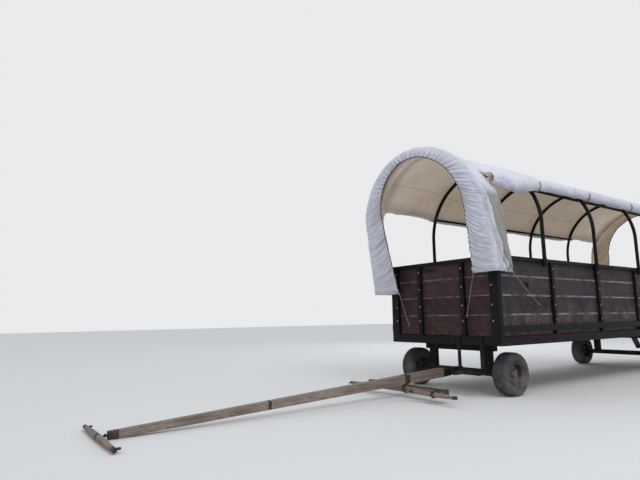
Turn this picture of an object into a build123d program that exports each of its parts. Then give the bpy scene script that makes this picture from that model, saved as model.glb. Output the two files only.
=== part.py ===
from build123d import *

import math
import os

# Covered ride wagon on four small rubber tyred wheels, drawn by a pole.
# Millimetres. +X runs to the rear, -Y is the left side, +Z is up, and the ground is Z = 0.
# Lengths called station are measured rearward from the front face of the box.

# Box
box_length = 6100.0
box_width = 1830.0
frame_bottom = 610.0
frame_height = 105.0
frame_wall = 60.0
floor_thick = 40.0
rail_top = 1700.0
rail_height = 45.0
post_depth = 40.0
post_width = 60.0
corner_post_width = 130.0
corner_post_depth = 62.0
front_post_offset = 366.0
side_bay_count = 5
board_thick = 38.0
board_gap = 4.0
board_chamfer = 4.0
wall_gap = 2.0
board_joints = [718.0, 980.0, 1218.0, 1456.0, 1694.0]
band_bottom = 770.0
band_height = 80.0
band_thick = 6.0
gate_width = 700.0

# Hoops and canvas
hoop_tube = 50.0
hoop_side_gap = 2.0
hoop_top = 3147.0
hoop_leg_depth = 100.0
end_leg_depth = 40.0
hoop_lean = 14.3
end_hoop_station = 35.0
inner_hoop_station = 1000.0
inner_hoop_count = 4
socket_wall = 7.0
socket_gap = 1.5
socket_floor = 10.0
purlin_size = 30.0
purlin_gap = 1.0
canvas_thick = 5.0
canvas_gap = 1.0
roll_diameter = 160.0
roll_height_left = 2775.0
roll_height_right = 2560.0
hood_back_station = 188.0
hood_back_lean = 11.3
hood_crown_reach = 240.0
hood_crown_lean = 7.7
hood_flare = 38.0
hood_lift = 30.0
hood_edge_reach = 165.0
hood_edge_lean = 12.3
hood_edge_inset = 247.0
hood_edge_dip = 100.0
hood_skirt_left = 210.0
hood_skirt_right = 410.0
canvas_lap = 20.0
roll_gap = 5.0

# Running gear
tyre_diameter = 520.0
tyre_width = 200.0
tyre_bead = 262.0
track_half = 765.0
front_axle_station = 350.0
rear_axle_inset = 1100.0
axle_size = 76.0
axle_wall = 8.0
kingpin_half = 590.0
kingpin_radius = 14.0
fork_half_gap = 37.0
fork_plate = 14.0
barrel_radius = 27.0
spindle_radius = 20.0
spindle_gap = 0.5
riser_half = 455.0
riser_width = 100.0
bolster_height = 90.0
bolster_half = 560.0
steer_link_reach = 110.0
steer_link_offset = 30.0
swing_pin_reach = 120.0
pitch_pin_reach = 225.0
axle_drop = 10.0
link_plate = 16.0
link_gap = 1.0
pin_radius = 9.0
pin_gap = 0.5

# Pole and draught gear
pole_length = 4150.0
pole_rear_width = 96.0
pole_rear_depth = 110.0
pole_tip_width = 62.0
pole_tip_depth = 66.0
evener_reach = 705.0
evener_length = 1300.0
evener_width = 62.0
evener_depth = 92.0
evener_gap = 5.0
singletree_spread = 560.0
singletree_length = 660.0
singletree_diameter = 50.0
singletree_reach = 130.0
yoke_length = 1070.0
yoke_diameter = 56.0
yoke_reach = 75.0
yoke_pin_offset = 20.0
yoke_ring_offset = 37.0
yoke_ring_inset = 40.0
ring_thick = 12.0
hook_reach = 38.0
hook_inset = 14.0

# Seats and steps
bench_height = 1190.0
bench_depth = 380.0
bench_start = 1180.0
driver_seat_height = 1400.0
driver_seat_station = 330.0
driver_seat_depth = 380.0
step_half_width = 170.0
step_tread_depth = 100.0
step_inset = 458.0
step_tread_height = 290.0
gate_hinge_offset = 12.0

# Values that follow from those above
half_width = box_width / 2
rear_axle_station = box_length - rear_axle_inset
step_centre = step_inset - half_width
side_bay = box_length / side_bay_count
frame_top = frame_bottom + frame_height
floor_top = frame_top + floor_thick
post_top = rail_top - rail_height
board_outer = half_width - post_depth - wall_gap
board_inner = board_outer - board_thick
hoop_radius = half_width + hoop_side_gap + hoop_tube / 2
hoop_foot = rail_top - hoop_leg_depth
spring_height = hoop_top - hoop_tube / 2 - hoop_radius
lean = math.radians(hoop_lean)
lean_foot = rail_top - end_leg_depth
lean_spring = (hoop_top - hoop_tube / 2 - lean_foot) / math.cos(lean) - hoop_radius
tyre_radius = tyre_diameter / 2
axle_z = tyre_radius
axle_beam_z = axle_z - axle_drop
pitch_pin_station = front_axle_station - swing_pin_reach - pitch_pin_reach
swing_pin_station = front_axle_station - swing_pin_reach
pitch_pin_z = axle_beam_z
half_tip = pole_tip_depth / 2
pole_slope = math.asin(pitch_pin_z / math.hypot(pole_length, half_tip)) - math.atan2(half_tip, pole_length)

# Outermost points, which set the middle of the whole wagon
hood_outer = hoop_radius + hoop_tube / 2 + socket_gap + socket_wall + canvas_gap + canvas_thick
hood_top = hoop_top + hood_outer - hoop_radius - hoop_tube / 2
hood_edge_rise = hood_top - hood_edge_dip - lean_foot
rear_reach = box_length + hood_edge_reach + canvas_thick
rear_reach += hood_edge_rise * math.tan(math.radians(hood_edge_lean))
front_reach = pole_length * math.cos(pole_slope) - pitch_pin_station + yoke_reach + yoke_diameter / 2
front_x = (front_reach - rear_reach) / 2


def station(distance):
    return front_x + distance


os.makedirs("parts", exist_ok=True)

# Steel frame of rectangular tube: side sills, end sills, main rails and cross members
frame_mid = station(box_length / 2)
cross_count = side_bay_count - 1
saddle_width = axle_size + 24
rail_inner = riser_half - frame_wall / 2
rail_outer = riser_half + frame_wall / 2
sill_inner = half_width - frame_wall
cross_rows = [(side_bay * number, frame_wall) for number in range(1, cross_count + 1)]
cross_rows += [(front_axle_station, saddle_width), (rear_axle_station, saddle_width)]
# name, then the middle X, middle Y, length and width of each tube
frame_table = [
    ("side_sills", [(frame_mid, side * (half_width + sill_inner) / 2, box_length, frame_wall) for side in (-1, 1)]),
    (
        "end_sills",
        [(station(place), 0, frame_wall, 2 * sill_inner) for place in (frame_wall / 2, box_length - frame_wall / 2)],
    ),
    (
        "main_rails",
        [(frame_mid, side * riser_half, box_length - 2 * frame_wall, frame_wall) for side in (-1, 1)],
    ),
    (
        "cross_members",
        [(station(place), 0, width, 2 * rail_inner) for place, width in cross_rows]
        + [
            (station(place), side * (rail_outer + sill_inner) / 2, width, sill_inner - rail_outer)
            for place, width in cross_rows
            for side in (-1, 1)
        ],
    ),
]
for name, tubes in frame_table:
    with BuildPart() as members:
        with BuildSketch(Plane.XY.offset(frame_bottom)):
            for middle_x, middle_y, length, width in tubes:
                with Locations((middle_x, middle_y)):
                    Rectangle(length, width)
        extrude(amount=frame_height)
    members.part.label = name
    export_step(members.part, f"parts/{name}.step")

# Floor planks laid lengthwise
plank_count = 8
floor_width = 2 * board_inner - 2 * wall_gap
plank_pitch = floor_width / plank_count
floor_start = corner_post_depth + board_thick + 2 * wall_gap
with BuildPart() as floor_planks:
    with BuildSketch(Plane.XY.offset(frame_top)):
        with Locations((frame_mid, 0)):
            with GridLocations(1, plank_pitch, 1, plank_count):
                Rectangle(box_length - 2 * floor_start, plank_pitch - board_gap)
    extrude(amount=floor_thick)
floor_planks.part.label = "floor_planks"
export_step(floor_planks.part, "parts/floor_planks.step")

# Wall planks: the four rows of every wall use the same joint heights
wall_start = corner_post_depth + wall_gap


def plank_rows(plane, width):
    with BuildPart() as rows:
        with BuildSketch(plane):
            for low, high in zip(board_joints[:-1], board_joints[1:]):
                with Locations((0, (low + high) / 2)):
                    Rectangle(width, high - low - board_gap)
        extrude(amount=board_thick)
        chamfer(rows.edges().filter_by(Axis(plane.origin, plane.x_dir)), board_chamfer)
    return rows.part


side_length = box_length - 2 * wall_start
left_plane = Plane(origin=(frame_mid, -board_inner, 0), x_dir=(1, 0, 0), z_dir=(0, -1, 0))
right_plane = Plane(origin=(frame_mid, board_inner, 0), x_dir=(-1, 0, 0), z_dir=(0, 1, 0))
side_boards_left = plank_rows(left_plane, side_length)
side_boards_left.label = "side_boards_left"
export_step(side_boards_left, "parts/side_boards_left.step")
side_boards_right = plank_rows(right_plane, side_length)
side_boards_right.label = "side_boards_right"
export_step(side_boards_right, "parts/side_boards_right.step")

front_plank_width = 2 * (half_width - corner_post_width - wall_gap)
front_plank_x = station(post_depth + wall_gap)
front_plane = Plane(origin=(front_plank_x, 0, 0), x_dir=(0, 1, 0), z_dir=(1, 0, 0))
front_boards = plank_rows(front_plane, front_plank_width)
front_boards.label = "front_boards"
export_step(front_boards, "parts/front_boards.step")

# Rear wall: a short run of planks on each side of the gate
rear_face = station(box_length)
rear_plank_x = rear_face - post_depth - wall_gap
gate_post_inner = gate_width / 2
gate_post_outer = gate_post_inner + post_width
rear_panel = half_width - corner_post_width - wall_gap - gate_post_inner
rear_panel_mid = gate_post_inner + rear_panel / 2
with BuildPart() as rear_boards:
    with BuildSketch(Plane(origin=(rear_plank_x, 0, 0), x_dir=(0, -1, 0), z_dir=(-1, 0, 0))):
        for low, high in zip(board_joints[:-1], board_joints[1:]):
            with Locations((-rear_panel_mid, (low + high) / 2), (rear_panel_mid, (low + high) / 2)):
                Rectangle(rear_panel, high - low - board_gap)
    extrude(amount=board_thick)
    chamfer(rear_boards.edges().filter_by(Axis.Y), board_chamfer)
rear_boards.part.label = "rear_boards"
export_step(rear_boards.part, "parts/rear_boards.step")

# Steel posts: side posts stand outside the planks, corner posts are wide flat tubes
with BuildPart() as side_posts:
    with BuildSketch(Plane.XY.offset(frame_top)):
        with Locations((frame_mid, 0)):
            with GridLocations(side_bay, box_width - post_depth, cross_count, 2):
                Rectangle(post_width, post_depth)
    extrude(amount=post_top - frame_top)
side_posts.part.label = "side_posts"
export_step(side_posts.part, "parts/side_posts.step")

corner_y = half_width - corner_post_width / 2
for name, corner_x, post_x, post_y in [
    ("front_posts", station(corner_post_depth / 2), station(post_depth / 2), front_post_offset),
    (
        "rear_posts",
        rear_face - corner_post_depth / 2,
        rear_face - post_depth / 2,
        gate_post_inner + post_width / 2,
    ),
]:
    with BuildPart() as posts:
        with BuildSketch(Plane.XY.offset(frame_top)):
            with Locations((corner_x, -corner_y), (corner_x, corner_y)):
                Rectangle(corner_post_depth, corner_post_width)
            with Locations((post_x, -post_y), (post_x, post_y)):
                Rectangle(post_depth, post_width)
        extrude(amount=post_top - frame_top)
    posts.part.label = name
    export_step(posts.part, f"parts/{name}.step")

# Inner hoops share the length between the two end hoops
hoop_spacing = (box_length - 2 * inner_hoop_station) / (inner_hoop_count - 1)
hoop_stations = [inner_hoop_station + hoop_spacing * number for number in range(inner_hoop_count)]
tube_radius = hoop_tube / 2
socket_bore = tube_radius + socket_gap
socket_radius = socket_bore + socket_wall


def hoop_plane(x, foot, tilt):
    return Plane(
        origin=(x, 0, foot),
        x_dir=(0, 1, 0),
        z_dir=(math.cos(tilt), 0, math.sin(tilt)),
    )


front_hoop_plane = hoop_plane(station(end_hoop_station), lean_foot, lean)
rear_hoop_plane = hoop_plane(rear_face - end_hoop_station, lean_foot, -lean)
inner_hoop_planes = [hoop_plane(station(place), hoop_foot, 0) for place in hoop_stations]

# Top rails on the posts, open at the gate; the side rails carry a socket for every hoop leg
leg_planes = [front_hoop_plane, rear_hoop_plane] + inner_hoop_planes
rail_inner_face = half_width - post_depth
with BuildPart() as side_rails:
    for leg_plane in leg_planes:
        level = Plane(origin=leg_plane.origin, x_dir=leg_plane.x_dir, z_dir=leg_plane.y_dir)
        with BuildSketch(level.offset(-socket_floor)):
            with Locations((-hoop_radius, 0), (hoop_radius, 0)):
                Circle(socket_radius)
        extrude(amount=rail_top - leg_plane.origin.Z + socket_floor)
    with BuildSketch(Plane.XY.offset(post_top)):
        with Locations((frame_mid, 0)):
            Rectangle(2 * box_length, box_width + 2 * wall_gap)
    extrude(amount=-2 * (hoop_leg_depth + socket_floor), mode=Mode.SUBTRACT)
    with BuildSketch(Plane.XY.offset(post_top)):
        with Locations((frame_mid, 0)):
            with GridLocations(1, box_width - post_depth, 1, 2):
                Rectangle(box_length, post_depth)
    extrude(amount=rail_height)
    for leg_plane in leg_planes:
        level = Plane(origin=leg_plane.origin, x_dir=leg_plane.x_dir, z_dir=leg_plane.y_dir)
        with BuildSketch(level):
            with Locations((-hoop_radius, 0), (hoop_radius, 0)):
                Circle(socket_bore)
        extrude(amount=hoop_leg_depth + socket_floor + rail_height, mode=Mode.SUBTRACT)
side_rails.part.label = "side_rails"
export_step(side_rails.part, "parts/side_rails.step")

rear_rail_length = rail_inner_face - gate_post_inner
with BuildPart() as end_rails:
    with BuildSketch(Plane.XY.offset(post_top)):
        with Locations((station(post_depth / 2), 0)):
            Rectangle(post_depth, 2 * rail_inner_face)
        for side in (-1, 1):
            with Locations((rear_face - post_depth / 2, side * (gate_post_inner + rear_rail_length / 2))):
                Rectangle(post_depth, rear_rail_length)
    extrude(amount=rail_height)
end_rails.part.label = "end_rails"
export_step(end_rails.part, "parts/end_rails.step")


# Hoops: bent steel tube, two legs and a half circle
def hoop(plane, spring):
    with BuildPart() as bent:
        with BuildLine(plane) as route:
            Line((-hoop_radius, 0), (-hoop_radius, spring))
            ThreePointArc((-hoop_radius, spring), (0, spring + hoop_radius), (hoop_radius, spring))
            Line((hoop_radius, spring), (hoop_radius, 0))
        with BuildSketch(Plane(origin=route.line @ 0, z_dir=route.line % 0)):
            Circle(tube_radius)
        sweep(path=route.line)
    return bent.part


for name, plane in [("front_hoop", front_hoop_plane), ("rear_hoop", rear_hoop_plane)]:
    end_hoop = hoop(plane, lean_spring)
    end_hoop.label = name
    export_step(end_hoop, f"parts/{name}.step")
with BuildPart() as inner_hoops:
    for plane in inner_hoop_planes:
        add(hoop(plane, spring_height - hoop_foot))
inner_hoops.part.label = "inner_hoops"
export_step(inner_hoops.part, "parts/inner_hoops.step")

# Steel band along the foot of each side wall
with BuildPart() as side_bands:
    for side in (-1, 1):
        with BuildSketch(Plane.XY.offset(band_bottom)):
            with Locations((frame_mid, side * (half_width + band_thick / 2))):
                Rectangle(box_length, band_thick)
        extrude(amount=band_height)
side_bands.part.label = "side_bands"
export_step(side_bands.part, "parts/side_bands.step")

# Purlins under the hoops: a ridge and one below each canvas roll
roll_radius = roll_diameter / 2
canvas_inner = hoop_radius + tube_radius + canvas_gap
roll_centre = canvas_inner + roll_radius
roll_angle_left = math.degrees(math.asin((roll_height_left - spring_height) / roll_centre))
roll_angle_right = math.degrees(math.asin((roll_height_right - spring_height) / roll_centre))
purlin_outer = math.sqrt((hoop_radius - tube_radius - purlin_gap) ** 2 - (purlin_size / 2) ** 2)
purlin_centre = purlin_outer - purlin_size / 2
purlin_start = hoop_stations[0] - tube_radius
purlin_length = hoop_stations[-1] - hoop_stations[0] + 2 * tube_radius
with BuildPart() as purlins:
    with BuildSketch(Plane.YZ.offset(station(purlin_start))):
        for angle in (180 - roll_angle_left, 90, roll_angle_right):
            turn = math.radians(angle)
            spot = (purlin_centre * math.cos(turn), spring_height + purlin_centre * math.sin(turn))
            with Locations(Location((*spot, 0), (0, 0, angle))):
                Rectangle(purlin_size, purlin_size)
    extrude(amount=purlin_length)
purlins.part.label = "purlins"
export_step(purlins.part, "parts/purlins.step")

# Canvas top with both sides rolled up, one closed form
back_slope = math.tan(math.radians(hood_back_lean))


def hood_back_at(height):
    return hood_back_station - (height - lean_foot) * back_slope


arch_start = hood_back_at(hood_top) - canvas_lap
with BuildPart() as canvas_top:
    with BuildSketch(Plane.YZ.offset(station(arch_start))):
        with BuildLine():
            left = math.radians(180 - roll_angle_left)
            right = math.radians(roll_angle_right)
            outer = canvas_inner + canvas_thick

            def rim(radius, turn):
                return (radius * math.cos(turn), spring_height + radius * math.sin(turn))

            middle = math.radians(90)
            ThreePointArc(rim(outer, left), rim(outer, middle), rim(outer, right))
            Line(rim(outer, right), rim(canvas_inner, right))
            ThreePointArc(rim(canvas_inner, right), rim(canvas_inner, middle), rim(canvas_inner, left))
            Line(rim(canvas_inner, left), rim(outer, left))
        make_face()
    extrude(amount=box_length - 2 * arch_start)
    for turn, height in ((left, roll_height_left), (right, roll_height_right)):
        roll_start = hood_back_at(height - roll_radius) + roll_gap
        with BuildSketch(Plane.YZ.offset(station(roll_start))):
            with Locations(rim(roll_centre, turn)):
                Circle(roll_radius)
        extrude(amount=box_length - 2 * roll_start)
canvas_top.part.label = "canvas_top"
export_step(canvas_top.part, "parts/canvas_top.step")


# Canvas hoods over the leaning end hoops: arched bands lofted from ring to ring, each foot at its own height
def arch_band(plane, radius, spring, foot_left, foot_right):
    with BuildSketch(plane) as band:
        with BuildLine():
            inner = radius - canvas_thick
            Line((-radius, foot_left), (-radius, spring))
            ThreePointArc((-radius, spring), (0, spring + radius), (radius, spring))
            Line((radius, spring), (radius, foot_right))
            Line((radius, foot_right), (inner, foot_right))
            Line((inner, foot_right), (inner, spring))
            ThreePointArc((inner, spring), (0, spring + inner), (-inner, spring))
            Line((-inner, spring), (-inner, foot_left))
            Line((-inner, foot_left), (-radius, foot_left))
        make_face()
    return band.sketch


# spread of the half width, rise of the top, reach ahead of the box's end, lean
hood_rings = [
    (0, 0, -hood_back_station, hood_back_lean),
    (hood_flare, hood_lift, hood_crown_reach, hood_crown_lean),
    (-hood_edge_inset, -hood_edge_dip, hood_edge_reach, hood_edge_lean),
]


def hood_ring(end_x, side, ring):
    spread, rise, reach, ring_lean = ring
    tilt = math.radians(ring_lean)
    radius = hood_outer + spread
    plane = hoop_plane(end_x + side * reach, lean_foot, -side * tilt)
    spring = (hood_top + rise - lean_foot) / math.cos(tilt) - radius
    feet = [(rail_top - skirt - lean_foot) / math.cos(tilt) for skirt in (hood_skirt_left, hood_skirt_right)]
    return plane, radius, spring, feet[0], feet[1]


# The lip turns inwards from the crown ring's inner edge to the drawn edge, as three ruled sheets given thickness
def ring_line(plane, radius, spring, foot_left, foot_right):
    with BuildLine(plane) as ring:
        Line((-radius, foot_left), (-radius, spring))
        ThreePointArc((-radius, spring), (0, spring + radius), (radius, spring))
        Line((radius, spring), (radius, foot_right))
    return ring.edges()


for name, end_x, side in [("front_hood", station(0), -1), ("rear_hood", rear_face, 1)]:
    back, crown, edge = [hood_ring(end_x, side, ring) for ring in hood_rings]
    with BuildPart() as hood:
        loft(sections=[arch_band(*back), arch_band(*crown)], ruled=True)
    hood.part.label = name
    export_step(hood.part, f"parts/{name}.step")
    crown_inside = (crown[0], crown[1] - canvas_thick, *crown[2:])
    with BuildPart() as hood_lip:
        for outer_edge, inner_edge in zip(ring_line(*crown_inside), ring_line(*edge)):
            sheet = Face.make_surface_from_curves(outer_edge, inner_edge)
            extrude(to_extrude=sheet, amount=canvas_thick, dir=(side, 0, 0))
    hood_lip.part.label = f"{name}_lip"
    export_step(hood_lip.part, f"parts/{name}_lip.step")

# Benches along both walls: two planks for the seat and a row of steel brackets
bench_length = box_length - bench_start - floor_start
bench_mid = station(bench_start + bench_length / 2)
seat_thick = board_thick
bench_outer = board_inner - wall_gap
bench_inner = bench_outer - bench_depth
seat_plank = (bench_depth - board_gap) / 2
bracket_size = 38.0
bracket_count = 4
bracket_end = 150.0
bracket_pitch = (bench_length - 2 * bracket_end) / (bracket_count - 1)
with BuildPart() as bench_planks:
    with BuildSketch(Plane.XY.offset(bench_height - seat_thick)):
        for side in (-1, 1):
            with Locations((bench_mid, side * (bench_outer - bench_depth / 2))):
                with GridLocations(1, seat_plank + board_gap, 1, 2):
                    Rectangle(bench_length, seat_plank)
    extrude(amount=seat_thick)
bench_planks.part.label = "bench_planks"
export_step(bench_planks.part, "parts/bench_planks.step")

bracket_top = bench_height - seat_thick
leg_outer = bench_inner + bracket_size
bracket_start = station(bench_start + bracket_end) - bracket_size / 2
with BuildPart() as bench_brackets:
    for number in range(bracket_count):
        with BuildSketch(Plane.YZ.offset(bracket_start + number * bracket_pitch)):
            for side in (-1, 1):
                with BuildLine():
                    Polyline(
                        (side * bench_inner, floor_top),
                        (side * leg_outer, floor_top),
                        (side * leg_outer, bracket_top - bracket_size),
                        (side * bench_outer, bracket_top - bracket_size),
                        (side * bench_outer, bracket_top),
                        (side * bench_inner, bracket_top),
                        close=True,
                    )
                make_face()
        extrude(amount=bracket_size)
bench_brackets.part.label = "bench_brackets"
export_step(bench_brackets.part, "parts/bench_brackets.step")

# Raised driver's seat behind the front wall: seat planks, a back board and its steel uprights
driver_half = board_inner - 60.0
driver_leg_inset = 40.0
back_gap = 60.0
back_board = 200.0
driver_back = driver_seat_station + driver_seat_depth
driver_plank = (driver_seat_depth - board_gap) / 2
driver_mid = station(driver_seat_station + driver_seat_depth / 2)
with BuildPart() as driver_seat:
    with BuildSketch(Plane.XY.offset(driver_seat_height - seat_thick)):
        with Locations((driver_mid, 0)):
            with GridLocations(driver_plank + board_gap, 1, 2, 1):
                Rectangle(driver_plank, 2 * driver_half)
    extrude(amount=seat_thick)
    with BuildSketch(Plane.XY.offset(driver_seat_height + back_gap)):
        with Locations((station(driver_back - seat_thick / 2), 0)):
            Rectangle(seat_thick, 2 * driver_half)
    extrude(amount=back_board)
driver_seat.part.label = "driver_seat"
export_step(driver_seat.part, "parts/driver_seat.step")

driver_leg_y = driver_half - driver_leg_inset
driver_bearer = driver_seat_height - seat_thick
leg_front = station(driver_seat_station)
leg_back = station(driver_back)
back_top = driver_seat_height + back_gap + back_board
with BuildPart() as driver_seat_legs:
    for middle in (-driver_leg_y, 0, driver_leg_y):
        with BuildSketch(Plane.XZ.offset(-middle - bracket_size / 2)):
            with BuildLine():
                Polyline(
                    (leg_front, floor_top),
                    (leg_front + bracket_size, floor_top),
                    (leg_front + bracket_size, driver_bearer - bracket_size),
                    (leg_back, driver_bearer - bracket_size),
                    (leg_back, floor_top),
                    (leg_back + bracket_size, floor_top),
                    (leg_back + bracket_size, back_top),
                    (leg_back, back_top),
                    (leg_back, driver_bearer),
                    (leg_front, driver_bearer),
                    close=True,
                )
            make_face()
        extrude(amount=bracket_size)
driver_seat_legs.part.label = "driver_seat_legs"
export_step(driver_seat_legs.part, "parts/driver_seat_legs.step")

# Axle frames: bolster under the frame, two risers and the axle beam
axle_top = axle_beam_z + axle_size / 2
for name, axle_station in [("front_bolster", front_axle_station), ("rear_bolster", rear_axle_station)]:
    with BuildPart() as bolster:
        with BuildSketch(Plane.XY.offset(frame_bottom - bolster_height)):
            with Locations((station(axle_station), 0)):
                Rectangle(saddle_width, 2 * bolster_half)
        extrude(amount=bolster_height)
        with BuildSketch(Plane.XY.offset(axle_top)):
            with Locations((station(axle_station), -riser_half), (station(axle_station), riser_half)):
                Rectangle(axle_size, riser_width)
        extrude(amount=frame_bottom - bolster_height - axle_top)
    bolster.part.label = name
    export_step(bolster.part, f"parts/{name}.step")

# Front axle: beam, a fork for each kingpin and a jaw for the swing pin
fork_plate_half = 32.0
beam_half = kingpin_half - 60
jaw_half = 45.0
front_axle_x = station(front_axle_station)
with BuildPart() as front_axle:
    with BuildSketch(Plane.XZ.offset(-beam_half)):
        with Locations((front_axle_x, axle_beam_z)):
            Rectangle(axle_size, axle_size)
    extrude(amount=2 * beam_half)
    for level in (axle_beam_z + fork_half_gap, axle_beam_z - fork_half_gap - fork_plate):
        with BuildSketch(Plane.XY.offset(level)):
            for side in (-1, 1):
                with Locations((front_axle_x, side * (kingpin_half - 40))):
                    Rectangle(2 * fork_plate_half, 80)
                with Locations((front_axle_x, side * kingpin_half)):
                    Circle(fork_plate_half)
            with Locations((station(front_axle_station - swing_pin_reach / 2), 0)):
                Rectangle(swing_pin_reach, 2 * jaw_half)
            with Locations((station(swing_pin_station), 0)):
                Circle(jaw_half)
        extrude(amount=fork_plate)
    pin_height = 2 * (fork_half_gap + fork_plate)
    with Locations((station(swing_pin_station), 0, axle_beam_z)):
        Cylinder(kingpin_radius, pin_height)
    with Locations((front_axle_x, -kingpin_half, axle_beam_z), (front_axle_x, kingpin_half, axle_beam_z)):
        Cylinder(kingpin_radius, pin_height)
front_axle.part.label = "front_axle"
export_step(front_axle.part, "parts/front_axle.step")

# Wheel sections, measured outward from the middle of the tyre
hub_half = 55.0
hub_radius = 48.0
hub_bore = spindle_radius + spindle_gap
disc_offset = 20.0
disc_thick = 8.0
rim_radius = tyre_bead / 2
rim_half = 82.0
spindle_end = track_half + hub_half - 10

# Rear axle: beam with a spindle at each end
rear_axle_x = station(rear_axle_station)
rear_beam_half = track_half - tyre_width / 2 - 30
with BuildPart() as rear_axle:
    with BuildSketch(Plane.XZ.offset(-rear_beam_half)):
        with Locations((rear_axle_x, axle_beam_z)):
            Rectangle(axle_size, axle_size)
    extrude(amount=2 * rear_beam_half)
    with BuildSketch(Plane.XZ.offset(-spindle_end)):
        with Locations((rear_axle_x, axle_z)):
            Circle(spindle_radius)
    extrude(amount=2 * spindle_end)
rear_axle.part.label = "rear_axle"
export_step(rear_axle.part, "parts/rear_axle.step")

# Knuckles: a barrel on the kingpin, the spindle and a steering arm that points forward
arm_bottom = axle_beam_z - link_plate / 2
link_top = arm_bottom - link_gap
link_bottom = link_top - link_plate
boss_radius = 18.0
swing_x = station(swing_pin_station)
for side, name in [(-1, "knuckle_left"), (1, "knuckle_right")]:
    arm_x = front_axle_x - steer_link_reach
    arm_y = side * (kingpin_half + steer_link_offset)
    with BuildPart() as knuckle:
        with Locations((front_axle_x, side * kingpin_half, axle_beam_z)):
            Cylinder(barrel_radius, 2 * (fork_half_gap - link_gap))
        with BuildSketch(Plane.XY.offset(arm_bottom)):
            with BuildLine():
                Polyline(
                    (front_axle_x, side * (kingpin_half - boss_radius)),
                    (arm_x, arm_y - side * boss_radius),
                    (arm_x, arm_y + side * boss_radius),
                    (front_axle_x, side * (kingpin_half + boss_radius)),
                    close=True,
                )
            make_face()
            with Locations((arm_x, arm_y)):
                Circle(boss_radius)
        extrude(amount=link_plate)
        with BuildSketch(Plane.XY.offset(link_bottom)):
            with Locations((arm_x, arm_y)):
                Circle(pin_radius)
        extrude(amount=arm_bottom - link_bottom + link_plate)
        with BuildSketch(Plane.XZ.offset(-side * kingpin_half)):
            with Locations((front_axle_x, axle_z)):
                Circle(spindle_radius)
        extrude(amount=-side * (spindle_end - kingpin_half))
        with Locations((front_axle_x, side * kingpin_half, axle_beam_z)):
            Cylinder(kingpin_radius + pin_gap, 4 * fork_half_gap, mode=Mode.SUBTRACT)
    knuckle.part.label = name
    export_step(knuckle.part, f"parts/{name}.step")

# Steering head: swings on the jaw of the axle, carries the tie rod pins and the cheeks for the pole
cheek_thick = 12.0
cheek_gap = 6.0
cheek_inner = pole_rear_width / 2 + cheek_gap
cheek_outer = cheek_inner + cheek_thick
cheek_height = 90.0
cheek_end = 45.0
cross_back = pitch_pin_reach - pole_rear_depth / 2 - 8.0
pitch_pin_radius = 12.0
pitch_pin_x = station(pitch_pin_station)
with BuildPart() as steering_head:
    with Locations((swing_x, 0, axle_beam_z)):
        Cylinder(barrel_radius, 2 * (fork_half_gap - link_gap))
    with BuildSketch(Plane.XY.offset(arm_bottom)):
        with BuildLine():
            Polyline(
                (swing_x, -barrel_radius),
                (swing_x - cross_back, -cheek_outer),
                (swing_x - cross_back, cheek_outer),
                (swing_x, barrel_radius),
                close=True,
            )
        make_face()
    extrude(amount=link_plate)
    with BuildSketch(Plane.XY.offset(link_bottom)):
        for side in (-1, 1):
            with Locations((swing_x - steer_link_reach, side * steer_link_offset)):
                Circle(pin_radius)
    extrude(amount=arm_bottom - link_bottom + link_plate)
    with BuildSketch(Plane.XY.offset(axle_beam_z - cheek_height / 2)):
        with Locations((swing_x - cross_back + cheek_thick / 2, 0)):
            Rectangle(cheek_thick, 2 * cheek_outer)
    extrude(amount=cheek_height)
    for side in (-1, 1):
        with BuildSketch(Plane.XZ.offset(-side * cheek_inner)):
            with Locations(((swing_x - cross_back + pitch_pin_x) / 2, axle_beam_z)):
                Rectangle(abs(swing_x - cross_back - pitch_pin_x), cheek_height)
            with Locations((pitch_pin_x, axle_beam_z)):
                Circle(cheek_height / 2)
        extrude(amount=-side * cheek_thick)
    with Locations(Location((pitch_pin_x, 0, pitch_pin_z), (90, 0, 0))):
        Cylinder(pitch_pin_radius, 2 * cheek_outer)
    with Locations((swing_x, 0, axle_beam_z)):
        Cylinder(kingpin_radius + pin_gap, 4 * fork_half_gap, mode=Mode.SUBTRACT)
steering_head.part.label = "steering_head"
export_step(steering_head.part, "parts/steering_head.step")

# Tie rods from the steering head to the knuckles, parallel links of one length
rod_radius = link_plate / 2 - 1.0
for side, name in [(-1, "tie_rod_left"), (1, "tie_rod_right")]:
    inner = Vector(swing_x - steer_link_reach, side * steer_link_offset, 0)
    outer = Vector(front_axle_x - steer_link_reach, side * (kingpin_half + steer_link_offset), 0)
    along = (outer - inner).normalized()
    with BuildPart() as tie_rod:
        with BuildSketch(Plane.XY.offset(link_bottom)):
            with Locations(inner, outer):
                Circle(boss_radius)
        extrude(amount=link_plate)
        start = inner + along * (boss_radius - 4)
        start_high = Vector(start.X, start.Y, link_bottom + link_plate / 2)
        with BuildSketch(Plane(origin=start_high, z_dir=along)):
            Circle(rod_radius)
        extrude(amount=(outer - inner).length - 2 * (boss_radius - 4))
        with BuildSketch(Plane.XY.offset(link_bottom)):
            with Locations(inner, outer):
                Circle(pin_radius + pin_gap)
        extrude(amount=link_plate, mode=Mode.SUBTRACT)
    tie_rod.part.label = name
    export_step(tie_rod.part, f"parts/{name}.step")

# Wheels: pressed disc rim with hub, and a low wide tyre
flange_height = 14.0
flange_thick = 6.0
flange_radius = rim_radius + flange_height
tyre_seat = 0.3
wall_radius = 200.0
shoulder_radius = 247.0
shoulder_inset = 12.0
tread_half = 62.0
seat_half = rim_half - flange_thick
wall_slope = (tyre_width / 2 - seat_half) / (wall_radius - rim_radius)
flange_lean = flange_height * wall_slope
wheel_table = [
    ("front_left", front_axle_x, -1),
    ("front_right", front_axle_x, 1),
    ("rear_left", rear_axle_x, -1),
    ("rear_right", rear_axle_x, 1),
]


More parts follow.
